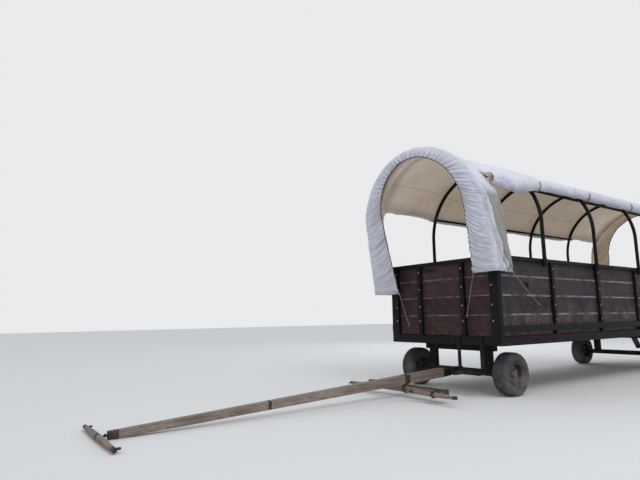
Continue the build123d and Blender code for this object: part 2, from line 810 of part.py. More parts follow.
def wheel_plane(x, side):
    return Plane(origin=(x, side * track_half, axle_z), x_dir=(0, side, 0), z_dir=(1, 0, 0))


for name, x, side in wheel_table:
    with BuildPart() as rim:
        with BuildSketch(wheel_plane(x, side)):
            with BuildLine():
                Polyline(
                    (-hub_half, hub_bore),
                    (hub_half, hub_bore),
                    (hub_half, hub_radius),
                    (disc_offset + disc_thick, hub_radius),
                    (disc_offset + disc_thick, rim_radius - disc_thick),
                    (rim_half - disc_thick, rim_radius - disc_thick),
                    (rim_half, rim_radius),
                    (rim_half + flange_lean, flange_radius),
                    (seat_half + flange_lean, flange_radius),
                    (seat_half, rim_radius),
                    (-seat_half, rim_radius),
                    (-seat_half - flange_lean, flange_radius),
                    (-rim_half - flange_lean, flange_radius),
                    (-rim_half, rim_radius),
                    (-rim_half + disc_thick, rim_radius - disc_thick),
                    (disc_offset, rim_radius - disc_thick),
                    (disc_offset, hub_radius),
                    (-hub_half, hub_radius),
                    close=True,
                )
            make_face()
        revolve(axis=Axis((x, 0, axle_z), (0, 1, 0)))
        with BuildSketch(Plane(origin=(x, side * (track_half + hub_half), axle_z), z_dir=(0, side, 0))):
            Circle(hub_bore + 8)
        extrude(amount=12)
    rim.part.label = f"rim_{name}"
    export_step(rim.part, f"parts/rim_{name}.step")
    with BuildPart() as tyre:
        with BuildSketch(wheel_plane(x, side)):
            with BuildLine():
                half = tyre_width / 2
                foot = seat_half - 2 * tyre_seat
                Polyline(
                    (-foot, rim_radius + tyre_seat),
                    (foot, rim_radius + tyre_seat),
                    (half, wall_radius),
                    (half - shoulder_inset, shoulder_radius),
                    (tread_half, tyre_radius),
                    (-tread_half, tyre_radius),
                    (-half + shoulder_inset, shoulder_radius),
                    (-half, wall_radius),
                    close=True,
                )
            make_face()
        revolve(axis=Axis((x, 0, axle_z), (0, 1, 0)))
    tyre.part.label = f"tyre_{name}"
    export_step(tyre.part, f"parts/tyre_{name}.step")

# Pole, laid with its front end on the ground
ahead = Vector(-math.cos(pole_slope), 0, -math.sin(pole_slope))
above = Vector(-math.sin(pole_slope), 0, math.cos(pole_slope))
pole_root = Vector(pitch_pin_x, 0, pitch_pin_z)


def pole_section(reach):
    return Plane(origin=pole_root + ahead * reach, x_dir=(0, 1, 0), z_dir=ahead)


def pole_level(reach, height):
    return Plane(origin=pole_root + ahead * reach + above * height, x_dir=ahead, z_dir=above)


def pole_half_depth(reach):
    return (pole_rear_depth + (pole_tip_depth - pole_rear_depth) * reach / pole_length) / 2


bolt_radius = 10.0
bolt_gap = 0.5
tongue_thick = 12.0
lug_radius = 18.0
washer_thick = 8.0
yoke_pin_reach = pole_length + yoke_pin_offset
evener_centre = -pole_half_depth(evener_reach) - evener_gap - evener_depth / 2
with BuildPart() as pole:
    with BuildSketch(pole_section(0)):
        Rectangle(pole_rear_width, pole_rear_depth)
    with BuildSketch(pole_section(pole_length)):
        Rectangle(pole_tip_width, pole_tip_depth)
    loft()
    with Locations(Location(tuple(pole_root), (90, 0, 0))):
        Cylinder(pole_rear_depth / 2, pole_rear_width)
        Cylinder(pitch_pin_radius + pin_gap, 2 * pole_rear_width, mode=Mode.SUBTRACT)
    with BuildSketch(pole_level(evener_reach, evener_centre - evener_depth / 2)):
        Circle(bolt_radius)
    extrude(amount=evener_depth + 20)
    with BuildSketch(pole_level(evener_reach, evener_centre - evener_depth / 2 - evener_gap)):
        Circle(2 * bolt_radius)
    extrude(amount=-washer_thick)
    with BuildSketch(pole_level(evener_reach, evener_centre - evener_depth / 2 - evener_gap)):
        Circle(bolt_radius)
    extrude(amount=evener_gap)
pole.part.label = "pole"
export_step(pole.part, "parts/pole.step")

# Pole tip iron: a cap with a pin for the neck yoke
with BuildPart() as pole_iron:
    with BuildSketch(pole_level(pole_length, -tongue_thick / 2)):
        with Locations((yoke_pin_offset / 2, 0)):
            Rectangle(yoke_pin_offset, 2 * lug_radius)
        with Locations((yoke_pin_offset, 0)):
            Circle(lug_radius)
    extrude(amount=tongue_thick / 2 - 1)
    with BuildSketch(pole_level(yoke_pin_reach, -tongue_thick / 2)):
        Circle(pin_radius)
    extrude(amount=2 * tongue_thick)
pole_iron.part.label = "pole_iron"
export_step(pole_iron.part, "parts/pole_iron.step")

# Evener plank under the pole, with a clevis at each end for a singletree
clevis_thick = 8.0
clevis_gap = 3.0
clevis_width = 44.0
clevis_pin = 8.0
clevis_level = singletree_diameter / 2 + clevis_gap
with BuildPart() as evener:
    with BuildSketch(pole_level(evener_reach, evener_centre - evener_depth / 2)):
        Rectangle(evener_width, evener_length)
        Circle(bolt_radius + bolt_gap, mode=Mode.SUBTRACT)
    extrude(amount=evener_depth)
    for base in (-clevis_level - clevis_thick, clevis_level):
        with BuildSketch(pole_level(evener_reach, evener_centre + base)):
            for side in (-1, 1):
                with Locations((singletree_reach / 2, side * singletree_spread)):
                    Rectangle(singletree_reach, clevis_width)
                with Locations((singletree_reach, side * singletree_spread)):
                    Circle(clevis_width / 2)
        extrude(amount=clevis_thick)
    with BuildSketch(pole_level(evener_reach, evener_centre - clevis_level - clevis_thick)):
        for side in (-1, 1):
            with Locations((singletree_reach, side * singletree_spread)):
                Circle(clevis_pin)
    extrude(amount=2 * (clevis_level + clevis_thick))
evener.part.label = "evener"
export_step(evener.part, "parts/evener.step")

# Singletrees: turned bars with a hook at each end
tree_half = singletree_length / 2
tree_tip = 19.0
hook_wire = ring_thick / 2
hook_eye = 9.0
hook_ring = 18.0
straight_share = 0.3


def bar_profile(plane, half, middle_radius, tip_radius):
    straight = half * straight_share
    with BuildSketch(plane) as profile:
        with BuildLine():
            Polyline(
                (0, half),
                (tip_radius, half),
                (middle_radius, straight),
                (middle_radius, -straight),
                (tip_radius, -half),
                (0, -half),
                close=True,
            )
        make_face()
    return profile.sketch


for side, name in [(-1, "singletree_left"), (1, "singletree_right")]:
    centre = pole_level(evener_reach + singletree_reach, evener_centre)
    centre = Plane(origin=centre.origin + Vector(0, side * singletree_spread, 0), x_dir=ahead, z_dir=above)
    with BuildPart() as singletree:
        tree_profile = bar_profile(centre, tree_half, singletree_diameter / 2, tree_tip)
        revolve(tree_profile, axis=Axis(centre.origin, centre.y_dir))
        with BuildSketch(centre.offset(-hook_wire)):
            for end in (-1, 1):
                with Locations((hook_reach / 2, end * (tree_half - hook_inset))):
                    Rectangle(hook_reach, 2 * hook_wire)
                with Locations((hook_reach, end * (tree_half - hook_inset))):
                    Circle(hook_ring)
                    Circle(hook_eye, mode=Mode.SUBTRACT)
        extrude(amount=2 * hook_wire)
        with BuildSketch(centre.offset(-singletree_diameter)):
            Circle(clevis_pin + pin_gap)
        extrude(amount=2 * singletree_diameter, mode=Mode.SUBTRACT)
    singletree.part.label = name
    export_step(singletree.part, f"parts/{name}.step")

# Neck yoke on the pin of the pole iron
yoke_plane = pole_level(pole_length + yoke_reach, 0)
yoke_half = yoke_length / 2
yoke_tip = 19.0
yoke_eye = 11.0
yoke_ring = 20.0
yoke_lug_thick = 8.0
yoke_pin_back = pole_length + yoke_reach - yoke_pin_reach
with BuildPart() as neck_yoke:
    yoke_profile = bar_profile(yoke_plane, yoke_half, yoke_diameter / 2, yoke_tip)
    revolve(yoke_profile, axis=Axis(yoke_plane.origin, yoke_plane.y_dir))
    with BuildSketch(yoke_plane):
        with Locations((-yoke_pin_back / 2, 0)):
            Rectangle(yoke_pin_back, 2 * lug_radius)
        with Locations((-yoke_pin_back, 0)):
            Circle(lug_radius)
    extrude(amount=yoke_lug_thick)
    with BuildSketch(yoke_plane.offset(-ring_thick / 2)):
        for end in (-1, 1):
            with Locations((-yoke_ring_offset / 2, end * (yoke_half - yoke_ring_inset))):
                Rectangle(yoke_ring_offset, ring_thick)
            with Locations((-yoke_ring_offset, end * (yoke_half - yoke_ring_inset))):
                Circle(yoke_ring)
                Circle(yoke_eye, mode=Mode.SUBTRACT)
    extrude(amount=ring_thick)
    with BuildSketch(yoke_plane.offset(-tongue_thick)):
        with Locations((-yoke_pin_back, 0)):
            Circle(pin_radius + pin_gap)
    extrude(amount=3 * tongue_thick, mode=Mode.SUBTRACT)
neck_yoke.part.label = "neck_yoke"
export_step(neck_yoke.part, "parts/neck_yoke.step")

# Driver's stirrup step hung under the front sill
hanger_width = 46.0
hanger_thick = 12.0
tread_thick = 30.0
front_face = station(0)
with BuildPart() as front_step:
    with BuildSketch(Plane.XY.offset(step_tread_height - tread_thick)):
        for side in (-1, 1):
            with Locations((front_face - hanger_thick / 2, step_centre + side * step_half_width)):
                Rectangle(hanger_thick, hanger_width)
    extrude(amount=frame_top - step_tread_height + tread_thick)
    with BuildSketch(Plane.XY.offset(step_tread_height - tread_thick)):
        with Locations((front_face - hanger_thick - step_tread_depth / 2, step_centre)):
            Rectangle(step_tread_depth, 2 * step_half_width + hanger_width)
    extrude(amount=tread_thick)
front_step.part.label = "front_step"
export_step(front_step.part, "parts/front_step.step")

# Rear steps: treads between stringers, for climbing in at the gate
rear_step_half = gate_width / 2 - 50.0
stringer_thick = 10.0
stringer_nose = 40.0
stringer_foot = 50.0
stringer_root = 235.0
rear_tread_depth = 200.0
rear_tread_rise = 200.0
rear_tread_drop = 215.0
rear_tread_count = 2
rear_tread_back = 20.0
rear_tread_run = 180.0
# top height and setback from the rear face of each tread
tread_levels = [
    (frame_top - rear_tread_drop - rear_tread_rise * number, rear_tread_back + rear_tread_run * number)
    for number in range(rear_tread_count)
]
lowest, farthest = tread_levels[-1]
stringer_reach = farthest + rear_tread_depth
with BuildPart() as rear_steps:
    for side in (-1, 1):
        with BuildSketch(Plane.XZ.offset(-side * rear_step_half)):
            with BuildLine():
                Polyline(
                    (rear_face, frame_top),
                    (rear_face + stringer_nose, frame_top),
                    (rear_face + stringer_reach, lowest),
                    (rear_face + stringer_reach, lowest - stringer_foot),
                    (rear_face + farthest, lowest - stringer_foot),
                    (rear_face, frame_top - stringer_root),
                    close=True,
                )
            make_face()
        extrude(amount=-side * stringer_thick)
    for level, back in tread_levels:
        with BuildSketch(Plane.XY.offset(level - tread_thick)):
            with Locations((rear_face + back + rear_tread_depth / 2, 0)):
                Rectangle(rear_tread_depth, 2 * rear_step_half)
        extrude(amount=tread_thick)
rear_steps.part.label = "rear_steps"
export_step(rear_steps.part, "parts/rear_steps.step")

# Rear gate: planks in line with the rear wall, on two strap hinges at its right edge
hinge_x = rear_face + gate_hinge_offset
hinge_y = gate_post_inner
gate_right = gate_post_inner - 6.0
gate_left = -gate_post_inner + 14.0
gate_mid = (gate_right + gate_left) / 2
strap_thick = 8.0
strap_width = 50.0
strap_inset = 150.0
strap_levels = [board_joints[0] + strap_inset, board_joints[-1] - strap_inset]
batten_width = 40.0
knuckle_radius = 11.0
knuckle_bore = 6.5
hinge_pin_radius = knuckle_bore - pin_gap
lug_thick = 10.0
lug_gap = 2.0
pin_over = 4.0
with BuildPart() as gate_boards:
    with BuildSketch(Plane(origin=(rear_plank_x, gate_mid, 0), x_dir=(0, -1, 0), z_dir=(-1, 0, 0))):
        for low, high in zip(board_joints[:-1], board_joints[1:]):
            with Locations((0, (low + high) / 2)):
                Rectangle(gate_right - gate_left, high - low - board_gap)
    extrude(amount=board_thick)
    chamfer(gate_boards.edges().filter_by(Axis.Y), board_chamfer)
gate_boards.part.label = "gate_boards"
export_step(gate_boards.part, "parts/gate_boards.step")

strap_x = rear_plank_x + wall_gap / 2
batten_x = strap_x + strap_thick / 2
batten_left = gate_left + batten_width
batten_right = gate_right - 1.5 * batten_width
with BuildPart() as gate_straps:
    for level in strap_levels:
        with BuildSketch(Plane.XY.offset(level - strap_width / 2)):
            with Locations((batten_x, gate_mid)):
                Rectangle(strap_thick, gate_right - gate_left)
            with Locations(((strap_x + hinge_x) / 2, gate_right - strap_thick / 2)):
                Rectangle(hinge_x - strap_x, strap_thick)
            with Locations((hinge_x, hinge_y - strap_thick / 2)):
                Rectangle(2 * strap_thick, strap_thick)
            with Locations((hinge_x, hinge_y)):
                Circle(knuckle_radius)
                Circle(knuckle_bore, mode=Mode.SUBTRACT)
        extrude(amount=strap_width)
    with BuildSketch(Plane.XY.offset(strap_levels[0])):
        with Locations((batten_x, batten_left), (batten_x, batten_right)):
            Rectangle(strap_thick, batten_width)
    extrude(amount=strap_levels[1] - strap_levels[0])
gate_straps.part.label = "gate_straps"
export_step(gate_straps.part, "parts/gate_straps.step")

# Hinge pins for the gate, each on a lug welded to the right gate post
with BuildPart() as gate_hinges:
    for level in strap_levels:
        lug_bottom = level - strap_width / 2 - lug_gap - lug_thick
        with BuildSketch(Plane.XY.offset(lug_bottom)):
            with Locations((hinge_x, hinge_y)):
                Circle(knuckle_radius)
            with Locations(((rear_face + hinge_x) / 2, hinge_y + lug_thick)):
                Rectangle(hinge_x - rear_face, 2 * lug_thick)
        extrude(amount=lug_thick)
        with BuildSketch(Plane.XY.offset(lug_bottom)):
            with Locations((hinge_x, hinge_y)):
                Circle(hinge_pin_radius)
        extrude(amount=lug_thick + lug_gap + strap_width + pin_over)
gate_hinges.part.label = "gate_hinges"
export_step(gate_hinges.part, "parts/gate_hinges.step")
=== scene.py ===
import math
import random

import bpy
from mathutils import Matrix, Vector, geometry
from mathutils import noise as cloth_noise


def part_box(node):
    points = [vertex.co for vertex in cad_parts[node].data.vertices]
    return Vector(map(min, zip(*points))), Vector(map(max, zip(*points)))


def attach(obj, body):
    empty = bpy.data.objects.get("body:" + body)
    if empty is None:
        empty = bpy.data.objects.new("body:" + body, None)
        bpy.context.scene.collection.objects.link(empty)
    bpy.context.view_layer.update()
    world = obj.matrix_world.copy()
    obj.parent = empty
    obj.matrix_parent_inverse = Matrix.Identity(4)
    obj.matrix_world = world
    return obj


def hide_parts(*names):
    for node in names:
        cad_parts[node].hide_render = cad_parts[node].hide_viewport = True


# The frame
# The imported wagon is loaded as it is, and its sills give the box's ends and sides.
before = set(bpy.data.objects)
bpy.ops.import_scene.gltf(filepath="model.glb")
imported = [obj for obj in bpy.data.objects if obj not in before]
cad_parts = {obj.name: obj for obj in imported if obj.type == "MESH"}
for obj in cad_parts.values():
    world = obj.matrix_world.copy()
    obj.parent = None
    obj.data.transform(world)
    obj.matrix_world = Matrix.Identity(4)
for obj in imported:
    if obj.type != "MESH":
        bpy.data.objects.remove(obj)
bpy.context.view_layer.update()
bpy.ops.object.select_all(action="DESELECT")
sill_low, sill_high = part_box("side_sills")
front_face = sill_low.x
rear_face = sill_high.x
side_face = sill_high.y


# Camera
# It stands ahead of the wagon on its left, a little below the rails, and looks slightly upwards.
camera_ahead = 5.23
camera_aside = 3.68
camera_height = 0.98
camera_bearing = math.radians(54.48)
camera_pitch = math.radians(8.7)
camera_roll = math.radians(-0.8)
look = Vector((
    math.cos(camera_bearing) * math.cos(camera_pitch),
    math.sin(camera_bearing) * math.cos(camera_pitch),
    math.sin(camera_pitch),
))
camera_data = bpy.data.cameras.new("camera")
camera_data.lens = 28.35
camera_data.sensor_width = 36.0
camera = bpy.data.objects.new("camera", camera_data)
bpy.context.collection.objects.link(camera)
camera.location = (front_face - camera_ahead, -side_face - camera_aside, camera_height)
camera.rotation_mode = "QUATERNION"
turned_camera = look.to_track_quat("-Z", "Y").to_matrix() @ Matrix.Rotation(camera_roll, 3, "Z")
camera.rotation_quaternion = turned_camera.to_quaternion()
bpy.context.scene.camera = camera


# Studio
# A pale floor and a pale surround, one broad soft lamp above the left front and a weak one opposite.
# What the eye and the mirrored rays see of the surround is brighter and greyer than the light it gives.
def set_inputs(tree, node, inputs):
    for label, value in inputs.items():
        if isinstance(value, (int, float, tuple)):
            node.inputs[label].default_value = value
        else:
            tree.links.new(value, node.inputs[label])


def add_node(tree, kind, inputs=None, **settings):
    node = tree.nodes.new(kind)
    for setting, value in settings.items():
        setattr(node, setting, value)
    set_inputs(tree, node, inputs or {})
    return node


def math_node(tree, operation, first, second=0.5):
    return add_node(tree, "ShaderNodeMath", {0: first, 1: second}, operation=operation).outputs["Value"]


def mix_colour(tree, factor, first, second):
    inputs = {"Factor": factor, "A": first, "B": second}
    return add_node(tree, "ShaderNodeMix", inputs, data_type="RGBA").outputs["Result"]


def new_material(name):
    material = bpy.data.materials.new(name)
    material.use_nodes = True
    return material, material.node_tree, material.node_tree.nodes["Principled BSDF"]


bpy.context.scene.view_settings.view_transform = "Standard"
surround_shown = (0.86, 0.87, 0.88, 1)
surround_light = (0.80, 0.83, 0.88, 1)
world = bpy.data.worlds.new("studio")
world.use_nodes = True
rays = add_node(world.node_tree, "ShaderNodeLightPath").outputs
shown = rays["Is Camera Ray"]
for ray in ("Is Glossy Ray", "Is Transmission Ray"):
    shown = math_node(world.node_tree, "MAXIMUM", shown, rays[ray])
set_inputs(world.node_tree, world.node_tree.nodes["Background"], {
    "Color": mix_colour(world.node_tree, shown, surround_light, surround_shown), "Strength": 0.95,
})
bpy.context.scene.world = world

lamps_aim = Vector((0.5, 0, 1.2))
for name, place, power, size in [
    ("key_lamp", (front_face - 1.5, -6.0, 8.0), 235, 3.6),
    ("back_lamp", (rear_face + 3.0, 6.5, 6.0), 160, 6.0),
]:
    bpy.ops.object.light_add(type="AREA", location=place)
    lamp = bpy.context.object
    lamp.name = name
    lamp.data.energy = power
    lamp.data.size = size
    lamp.rotation_euler = (lamps_aim - Vector(place)).to_track_quat("-Z", "Y").to_euler()

bpy.ops.mesh.primitive_plane_add(size=90)
floor = bpy.context.object
floor.name = "floor"
floor_paint, floor_tree, floor_shader = new_material("floor_paint")
set_inputs(floor_tree, floor_shader, {"Base Color": (0.72, 0.72, 0.71, 1), "Roughness": 0.9})
floor.data.materials.append(floor_paint)


# Steel frame, posts, rails and hoops
# Welded rectangular tube and bent round tube, brushed over with black paint that has weathered to satin.
# The paint wears to dull metal in patches, and road dust lies on the lower members.
def times(tree, first, second):
    return math_node(tree, "MULTIPLY", first, second)


def scaled(tree, colour, factor):
    inputs = {0: colour, "Scale": factor}
    return add_node(tree, "ShaderNodeVectorMath", inputs, operation="SCALE").outputs["Vector"]


def noise(tree, vector, scale, detail, rough=0.5):
    inputs = {"Vector": vector, "Scale": scale, "Detail": detail, "Roughness": rough}
    return add_node(tree, "ShaderNodeTexNoise", inputs).outputs["Fac"]


def ramp(tree, value, low, high, at_low=0.0, at_high=1.0):
    inputs = {"Value": value, "From Min": low, "From Max": high, "To Min": at_low, "To Max": at_high}
    return add_node(tree, "ShaderNodeMapRange", inputs, interpolation_type="SMOOTHSTEP").outputs["Result"]


def bump(tree, shader, height, strength, distance):
    node = add_node(tree, "ShaderNodeBump", {"Height": height, "Strength": strength, "Distance": distance})
    set_inputs(tree, shader, {"Normal": node.outputs["Normal"]})


def object_place(tree):
    return add_node(tree, "ShaderNodeTexCoord").outputs["Object"]


def axes_of(tree, vector):
    return add_node(tree, "ShaderNodeSeparateXYZ", {"Vector": vector}).outputs


# build gets the tree and the group's inputs, and gives back what goes to each of the group's outputs
def new_group(name, inputs, outputs, build):
    group = bpy.data.node_groups.new(name, "ShaderNodeTree")
    for direction, sockets in (("INPUT", inputs), ("OUTPUT", outputs)):
        for label, kind in sockets.items():
            group.interface.new_socket(label, in_out=direction, socket_type=f"NodeSocket{kind}")
    given = group.nodes.new("NodeGroupInput").outputs
    set_inputs(group, group.nodes.new("NodeGroupOutput"), build(group, given))
    return group


def use_group(tree, group, **inputs):
    return add_node(tree, "ShaderNodeGroup", inputs, node_tree=group).outputs


def dress(material, *nodes):
    for node in nodes:
        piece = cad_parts[node]
        piece.data.materials.clear()
        piece.data.materials.append(material)


# the dust thins out upwards until Reach, in metres above the ground
def dusted(tree, given):
    place = object_place(tree)
    height = math_node(tree, "DIVIDE", axes_of(tree, place)["Z"], given["Reach"])
    spots = ramp(tree, noise(tree, place, 7.0, 6.0, 0.65), 0.35, 0.7)
    cover = times(tree, ramp(tree, height, 0.1, 1.0, 0.75, 0.06), spots)
    return {"Colour": mix_colour(tree, cover, given["Colour"], given["Dust"]), "Cover": cover}


def worn_paint(tree, given):
    place = object_place(tree)
    patch = noise(tree, place, 5.0, 8.0, 0.7)
    chips = noise(tree, place, 42.0, 5.0, 0.6)
    brush = noise(tree, place, 160.0, 2.0, 0.5)
    limit = math_node(tree, "SUBTRACT", 0.46, given["Wear"])
    gone = math_node(tree, "GREATER_THAN", times(tree, patch, chips), limit)
    tinted = scaled(tree, given["Paint"], ramp(tree, patch, 0.3, 0.7, 0.75, 1.35))
    return {
        "Colour": mix_colour(tree, gone, tinted, given["Bare"]),
        "Roughness": ramp(tree, chips, 0.3, 0.7, 0.46, 0.72),
        "Height": math_node(tree, "SUBTRACT", times(tree, brush, 0.4), gone),
    }


dust_group = new_group(
    "road dust", {"Colour": "Color", "Dust": "Color", "Reach": "Float"},
    {"Colour": "Color", "Cover": "Float"}, dusted,
)
surface_outputs = {"Colour": "Color", "Roughness": "Float", "Height": "Float"}
paint_group = new_group(
    "worn paint", {"Paint": "Color", "Bare": "Color", "Wear": "Float"}, surface_outputs, worn_paint
)


def painted_steel(name, paint, bare, wear, dust, dust_reach):
    material, tree, shader = new_material(name)
    coat = use_group(tree, paint_group, Paint=paint, Bare=bare, Wear=wear)
    dirt = use_group(tree, dust_group, Colour=coat["Colour"], Dust=dust, Reach=dust_reach)
    rough = math_node(tree, "ADD", coat["Roughness"], times(tree, dirt["Cover"], 0.5))
    set_inputs(tree, shader, {"Base Color": dirt["Colour"], "Roughness": rough, "Specular IOR Level": 0.15})
    bump(tree, shader, coat["Height"], 0.35, 0.0006)
    return material


road_dust = (0.30, 0.25, 0.20, 1)
black_steel = painted_steel(
    "black_steel", (0.0040, 0.0044, 0.0062, 1), (0.034, 0.028, 0.027, 1), 0.05, (0.085, 0.074, 0.066, 1), 0.7
)
dress(
    black_steel, "side_sills", "end_sills", "main_rails", "cross_members", "side_posts", "front_posts",
    "rear_posts", "side_rails", "end_rails", "side_bands", "front_hoop", "inner_hoops", "rear_hoop",
    "purlins", "front_bolster", "rear_bolster", "front_axle", "rear_axle", "knuckle_left", "knuckle_right",
    "steering_head", "tie_rod_left", "tie_rod_right", "front_step", "rear_steps", "bench_brackets",
    "driver_seat_legs",
)
forged_iron = painted_steel(
    "forged_iron", (0.026, 0.024, 0.024, 1), (0.13, 0.085, 0.058, 1), 0.10, road_dust, 0.5
)
dress(forged_iron, "pole_iron", "gate_hinges", "gate_straps")


# Plank walls, gate, seats and floor
# Two-inch planks with a dark reddish brown stain. The stain has greyed along the grain, and the arrises are
# pale, partly weathered and partly a painted highlight; each plank differs a little in tone, and the grain
# runs along it.
def plank_grain(tree, given):
    own = add_node(tree, "ShaderNodeTexWhiteNoise", {"W": given["Number"]}, noise_dimensions="1D").outputs
    shift = {0: own["Color"], 1: (9.0, 9.0, 9.0), 2: given["Along"]}
    shifted = add_node(tree, "ShaderNodeVectorMath", shift, operation="MULTIPLY_ADD").outputs["Vector"]
    stretch = {0: shifted, 1: (1.0, 16.0, 16.0)}
    stretched = add_node(tree, "ShaderNodeVectorMath", stretch, operation="MULTIPLY").outputs["Vector"]
    streaks = noise(tree, stretched, 2.2, 7.0, 0.62)
    fibres = noise(tree, stretched, 17.0, 4.0, 0.55)
    blotch = noise(tree, shifted, 1.9, 5.0, 0.6)
    tone = ramp(tree, own["Value"], 0.0, 1.0, 0.72, 1.22)
    stained = scaled(tree, given["Stain"], times(tree, tone, ramp(tree, streaks, 0.3, 0.7, 0.62, 1.25)))
    bare = times(tree, ramp(tree, blotch, 0.38, 0.72), ramp(tree, fibres, 0.42, 0.66))
    return {
        "Colour": mix_colour(tree, times(tree, bare, given["Weathering"]), stained, given["Worn"]),
        "Roughness": ramp(tree, fibres, 0.3, 0.7, 0.86, 0.62),
        "Height": math_node(tree, "ADD", fibres, times(tree, streaks, 1.4)),
    }


grain_group = new_group(
    "plank grain",
    {"Along": "Vector", "Number": "Float", "Stain": "Color", "Worn": "Color", "Weathering": "Float"},
    surface_outputs, plank_grain,
)


# order gives which of the object's axes run along the plank, across it and through it
def planked(name, order, across, start, pitch, stain, worn, weathering, edge=0.03, dust_reach=0.01):
    material, tree, shader = new_material(name)
    place = object_place(tree)
    axes = axes_of(tree, place)
    ordered = {socket: axes[axis] for socket, axis in enumerate(order)}
    along = add_node(tree, "ShaderNodeCombineXYZ", ordered).outputs["Vector"]
    rows = math_node(tree, "DIVIDE", math_node(tree, "SUBTRACT", axes[across], start), pitch)
    number = math_node(tree, "MAXIMUM", math_node(tree, "FLOOR", rows), 0.0)
    grain = use_group(
        tree, grain_group, Along=along, Number=number, Stain=stain, Worn=worn, Weathering=weathering
    )
    share = math_node(tree, "SUBTRACT", rows, number)
    from_middle = math_node(tree, "ABSOLUTE", math_node(tree, "SUBTRACT", share, 0.5))
    above_foot = math_node(tree, "GREATER_THAN", rows, 0.5)
    # pale arrises: partly weathered wood, partly a painted highlight along the plank edges
    arris_wear_and_highlight = times(tree, ramp(tree, from_middle, 0.5 - edge, 0.5 - 0.6 * edge), above_foot)
    arris_patches = ramp(tree, noise(tree, place, 5.5, 7.0, 0.7), 0.36, 0.62, 0.08, 0.95)
    edged = mix_colour(tree, times(tree, arris_wear_and_highlight, arris_patches), grain["Colour"], pale_arris_and_highlight)
    dirt = use_group(tree, dust_group, Colour=edged, Dust=road_dust, Reach=dust_reach)
    set_inputs(tree, shader, {
        "Base Color": dirt["Colour"], "Roughness": grain["Roughness"], "Specular IOR Level": 0.3,
    })
    bump(tree, shader, grain["Height"], 0.55, 0.0022)
    return material


wall_foot = 0.742
wall_pitch = 0.238
floor_edge = -0.83
floor_pitch = 0.20825
side_stain = (0.026, 0.0165, 0.020, 1)
front_stain = (0.034, 0.0130, 0.0145, 1)
seat_stain = (0.075, 0.043, 0.032, 1)
greyed = (0.078, 0.064, 0.075, 1)
# the pale arris colour is partly weathered wood and partly painted highlight
pale_arris_and_highlight = (0.38, 0.355, 0.415, 1)
side_wood = planked("side_wood", "XZY", "Z", wall_foot, wall_pitch, side_stain, greyed, 0.60, 0.050, 1.3)
end_wood = planked("end_wood", "YZX", "Z", wall_foot, wall_pitch, front_stain, greyed, 0.22, 0.030, 0.9)
seat_wood = planked("seat_wood", "XYZ", "Y", -2.0, 0.4, seat_stain, greyed, 0.5)
seat_end_wood = planked("seat_end_wood", "YXZ", "X", -2.0, 0.19, seat_stain, greyed, 0.5)
floor_wood = planked(
    "floor_wood", "XYZ", "Y", floor_edge, floor_pitch, (0.20, 0.15, 0.115, 1), (0.40, 0.37, 0.34, 1), 0.8
)
dress(side_wood, "side_boards_left", "side_boards_right")
dress(end_wood, "front_boards", "rear_boards", "gate_boards")
dress(seat_wood, "bench_planks")
dress(seat_end_wood, "driver_seat")
dress(floor_wood, "floor_planks")


# Splines of the plank joints
# Dark stained softwood strips lie in a groove of each plank joint and close it to light, dust and rain.
# Each entry gives the body and the strips' reaches in x and y, which repeat at every joint.
def start_box(name, middle, size):
    bpy.ops.object.select_all(action="DESELECT")
    bpy.ops.mesh.primitive_cube_add(size=1, location=middle)
    bpy.context.object.name = name
    bpy.ops.transform.resize(value=size)
    bpy.ops.object.transform_apply(location=True, rotation=True, scale=True)
    return bpy.context.object


spline_levels = (0.980, 1.218, 1.456)
spline_height = 0.0052
spline_places = {
    "side_splines": ("wagon", [
        ((front_face + 0.070, rear_face - 0.070), (side * 0.857, side * 0.851)) for side in (-1, 1)
    ]),
    "front_splines": ("wagon", [((front_face + 0.058, front_face + 0.064), (-0.780, 0.780))]),
    "rear_splines": ("wagon", [
        ((rear_face - 0.064, rear_face - 0.058), (side * 0.360, side * 0.780)) for side in (-1, 1)
    ]),
    "gate_splines": ("gate", [((rear_face - 0.064, rear_face - 0.058), (-0.330, 0.338))]),
}
for name, (body, strips) in spline_places.items():
    made = [
        start_box(
            name, ((x_start + x_stop) / 2, (y_start + y_stop) / 2, level),
            (x_stop - x_start, y_stop - y_start, spline_height),
        )
        for (x_start, x_stop), (y_start, y_stop) in strips for level in spline_levels
    ]
    for strip in made:
        strip.select_set(True)
    bpy.context.view_layer.objects.active = made[0]
    bpy.ops.object.join()
    splines = bpy.context.object
    splines.data.materials.append(side_wood if name == "side_splines" else end_wood)
    splines.select_set(False)
    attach(splines, body)


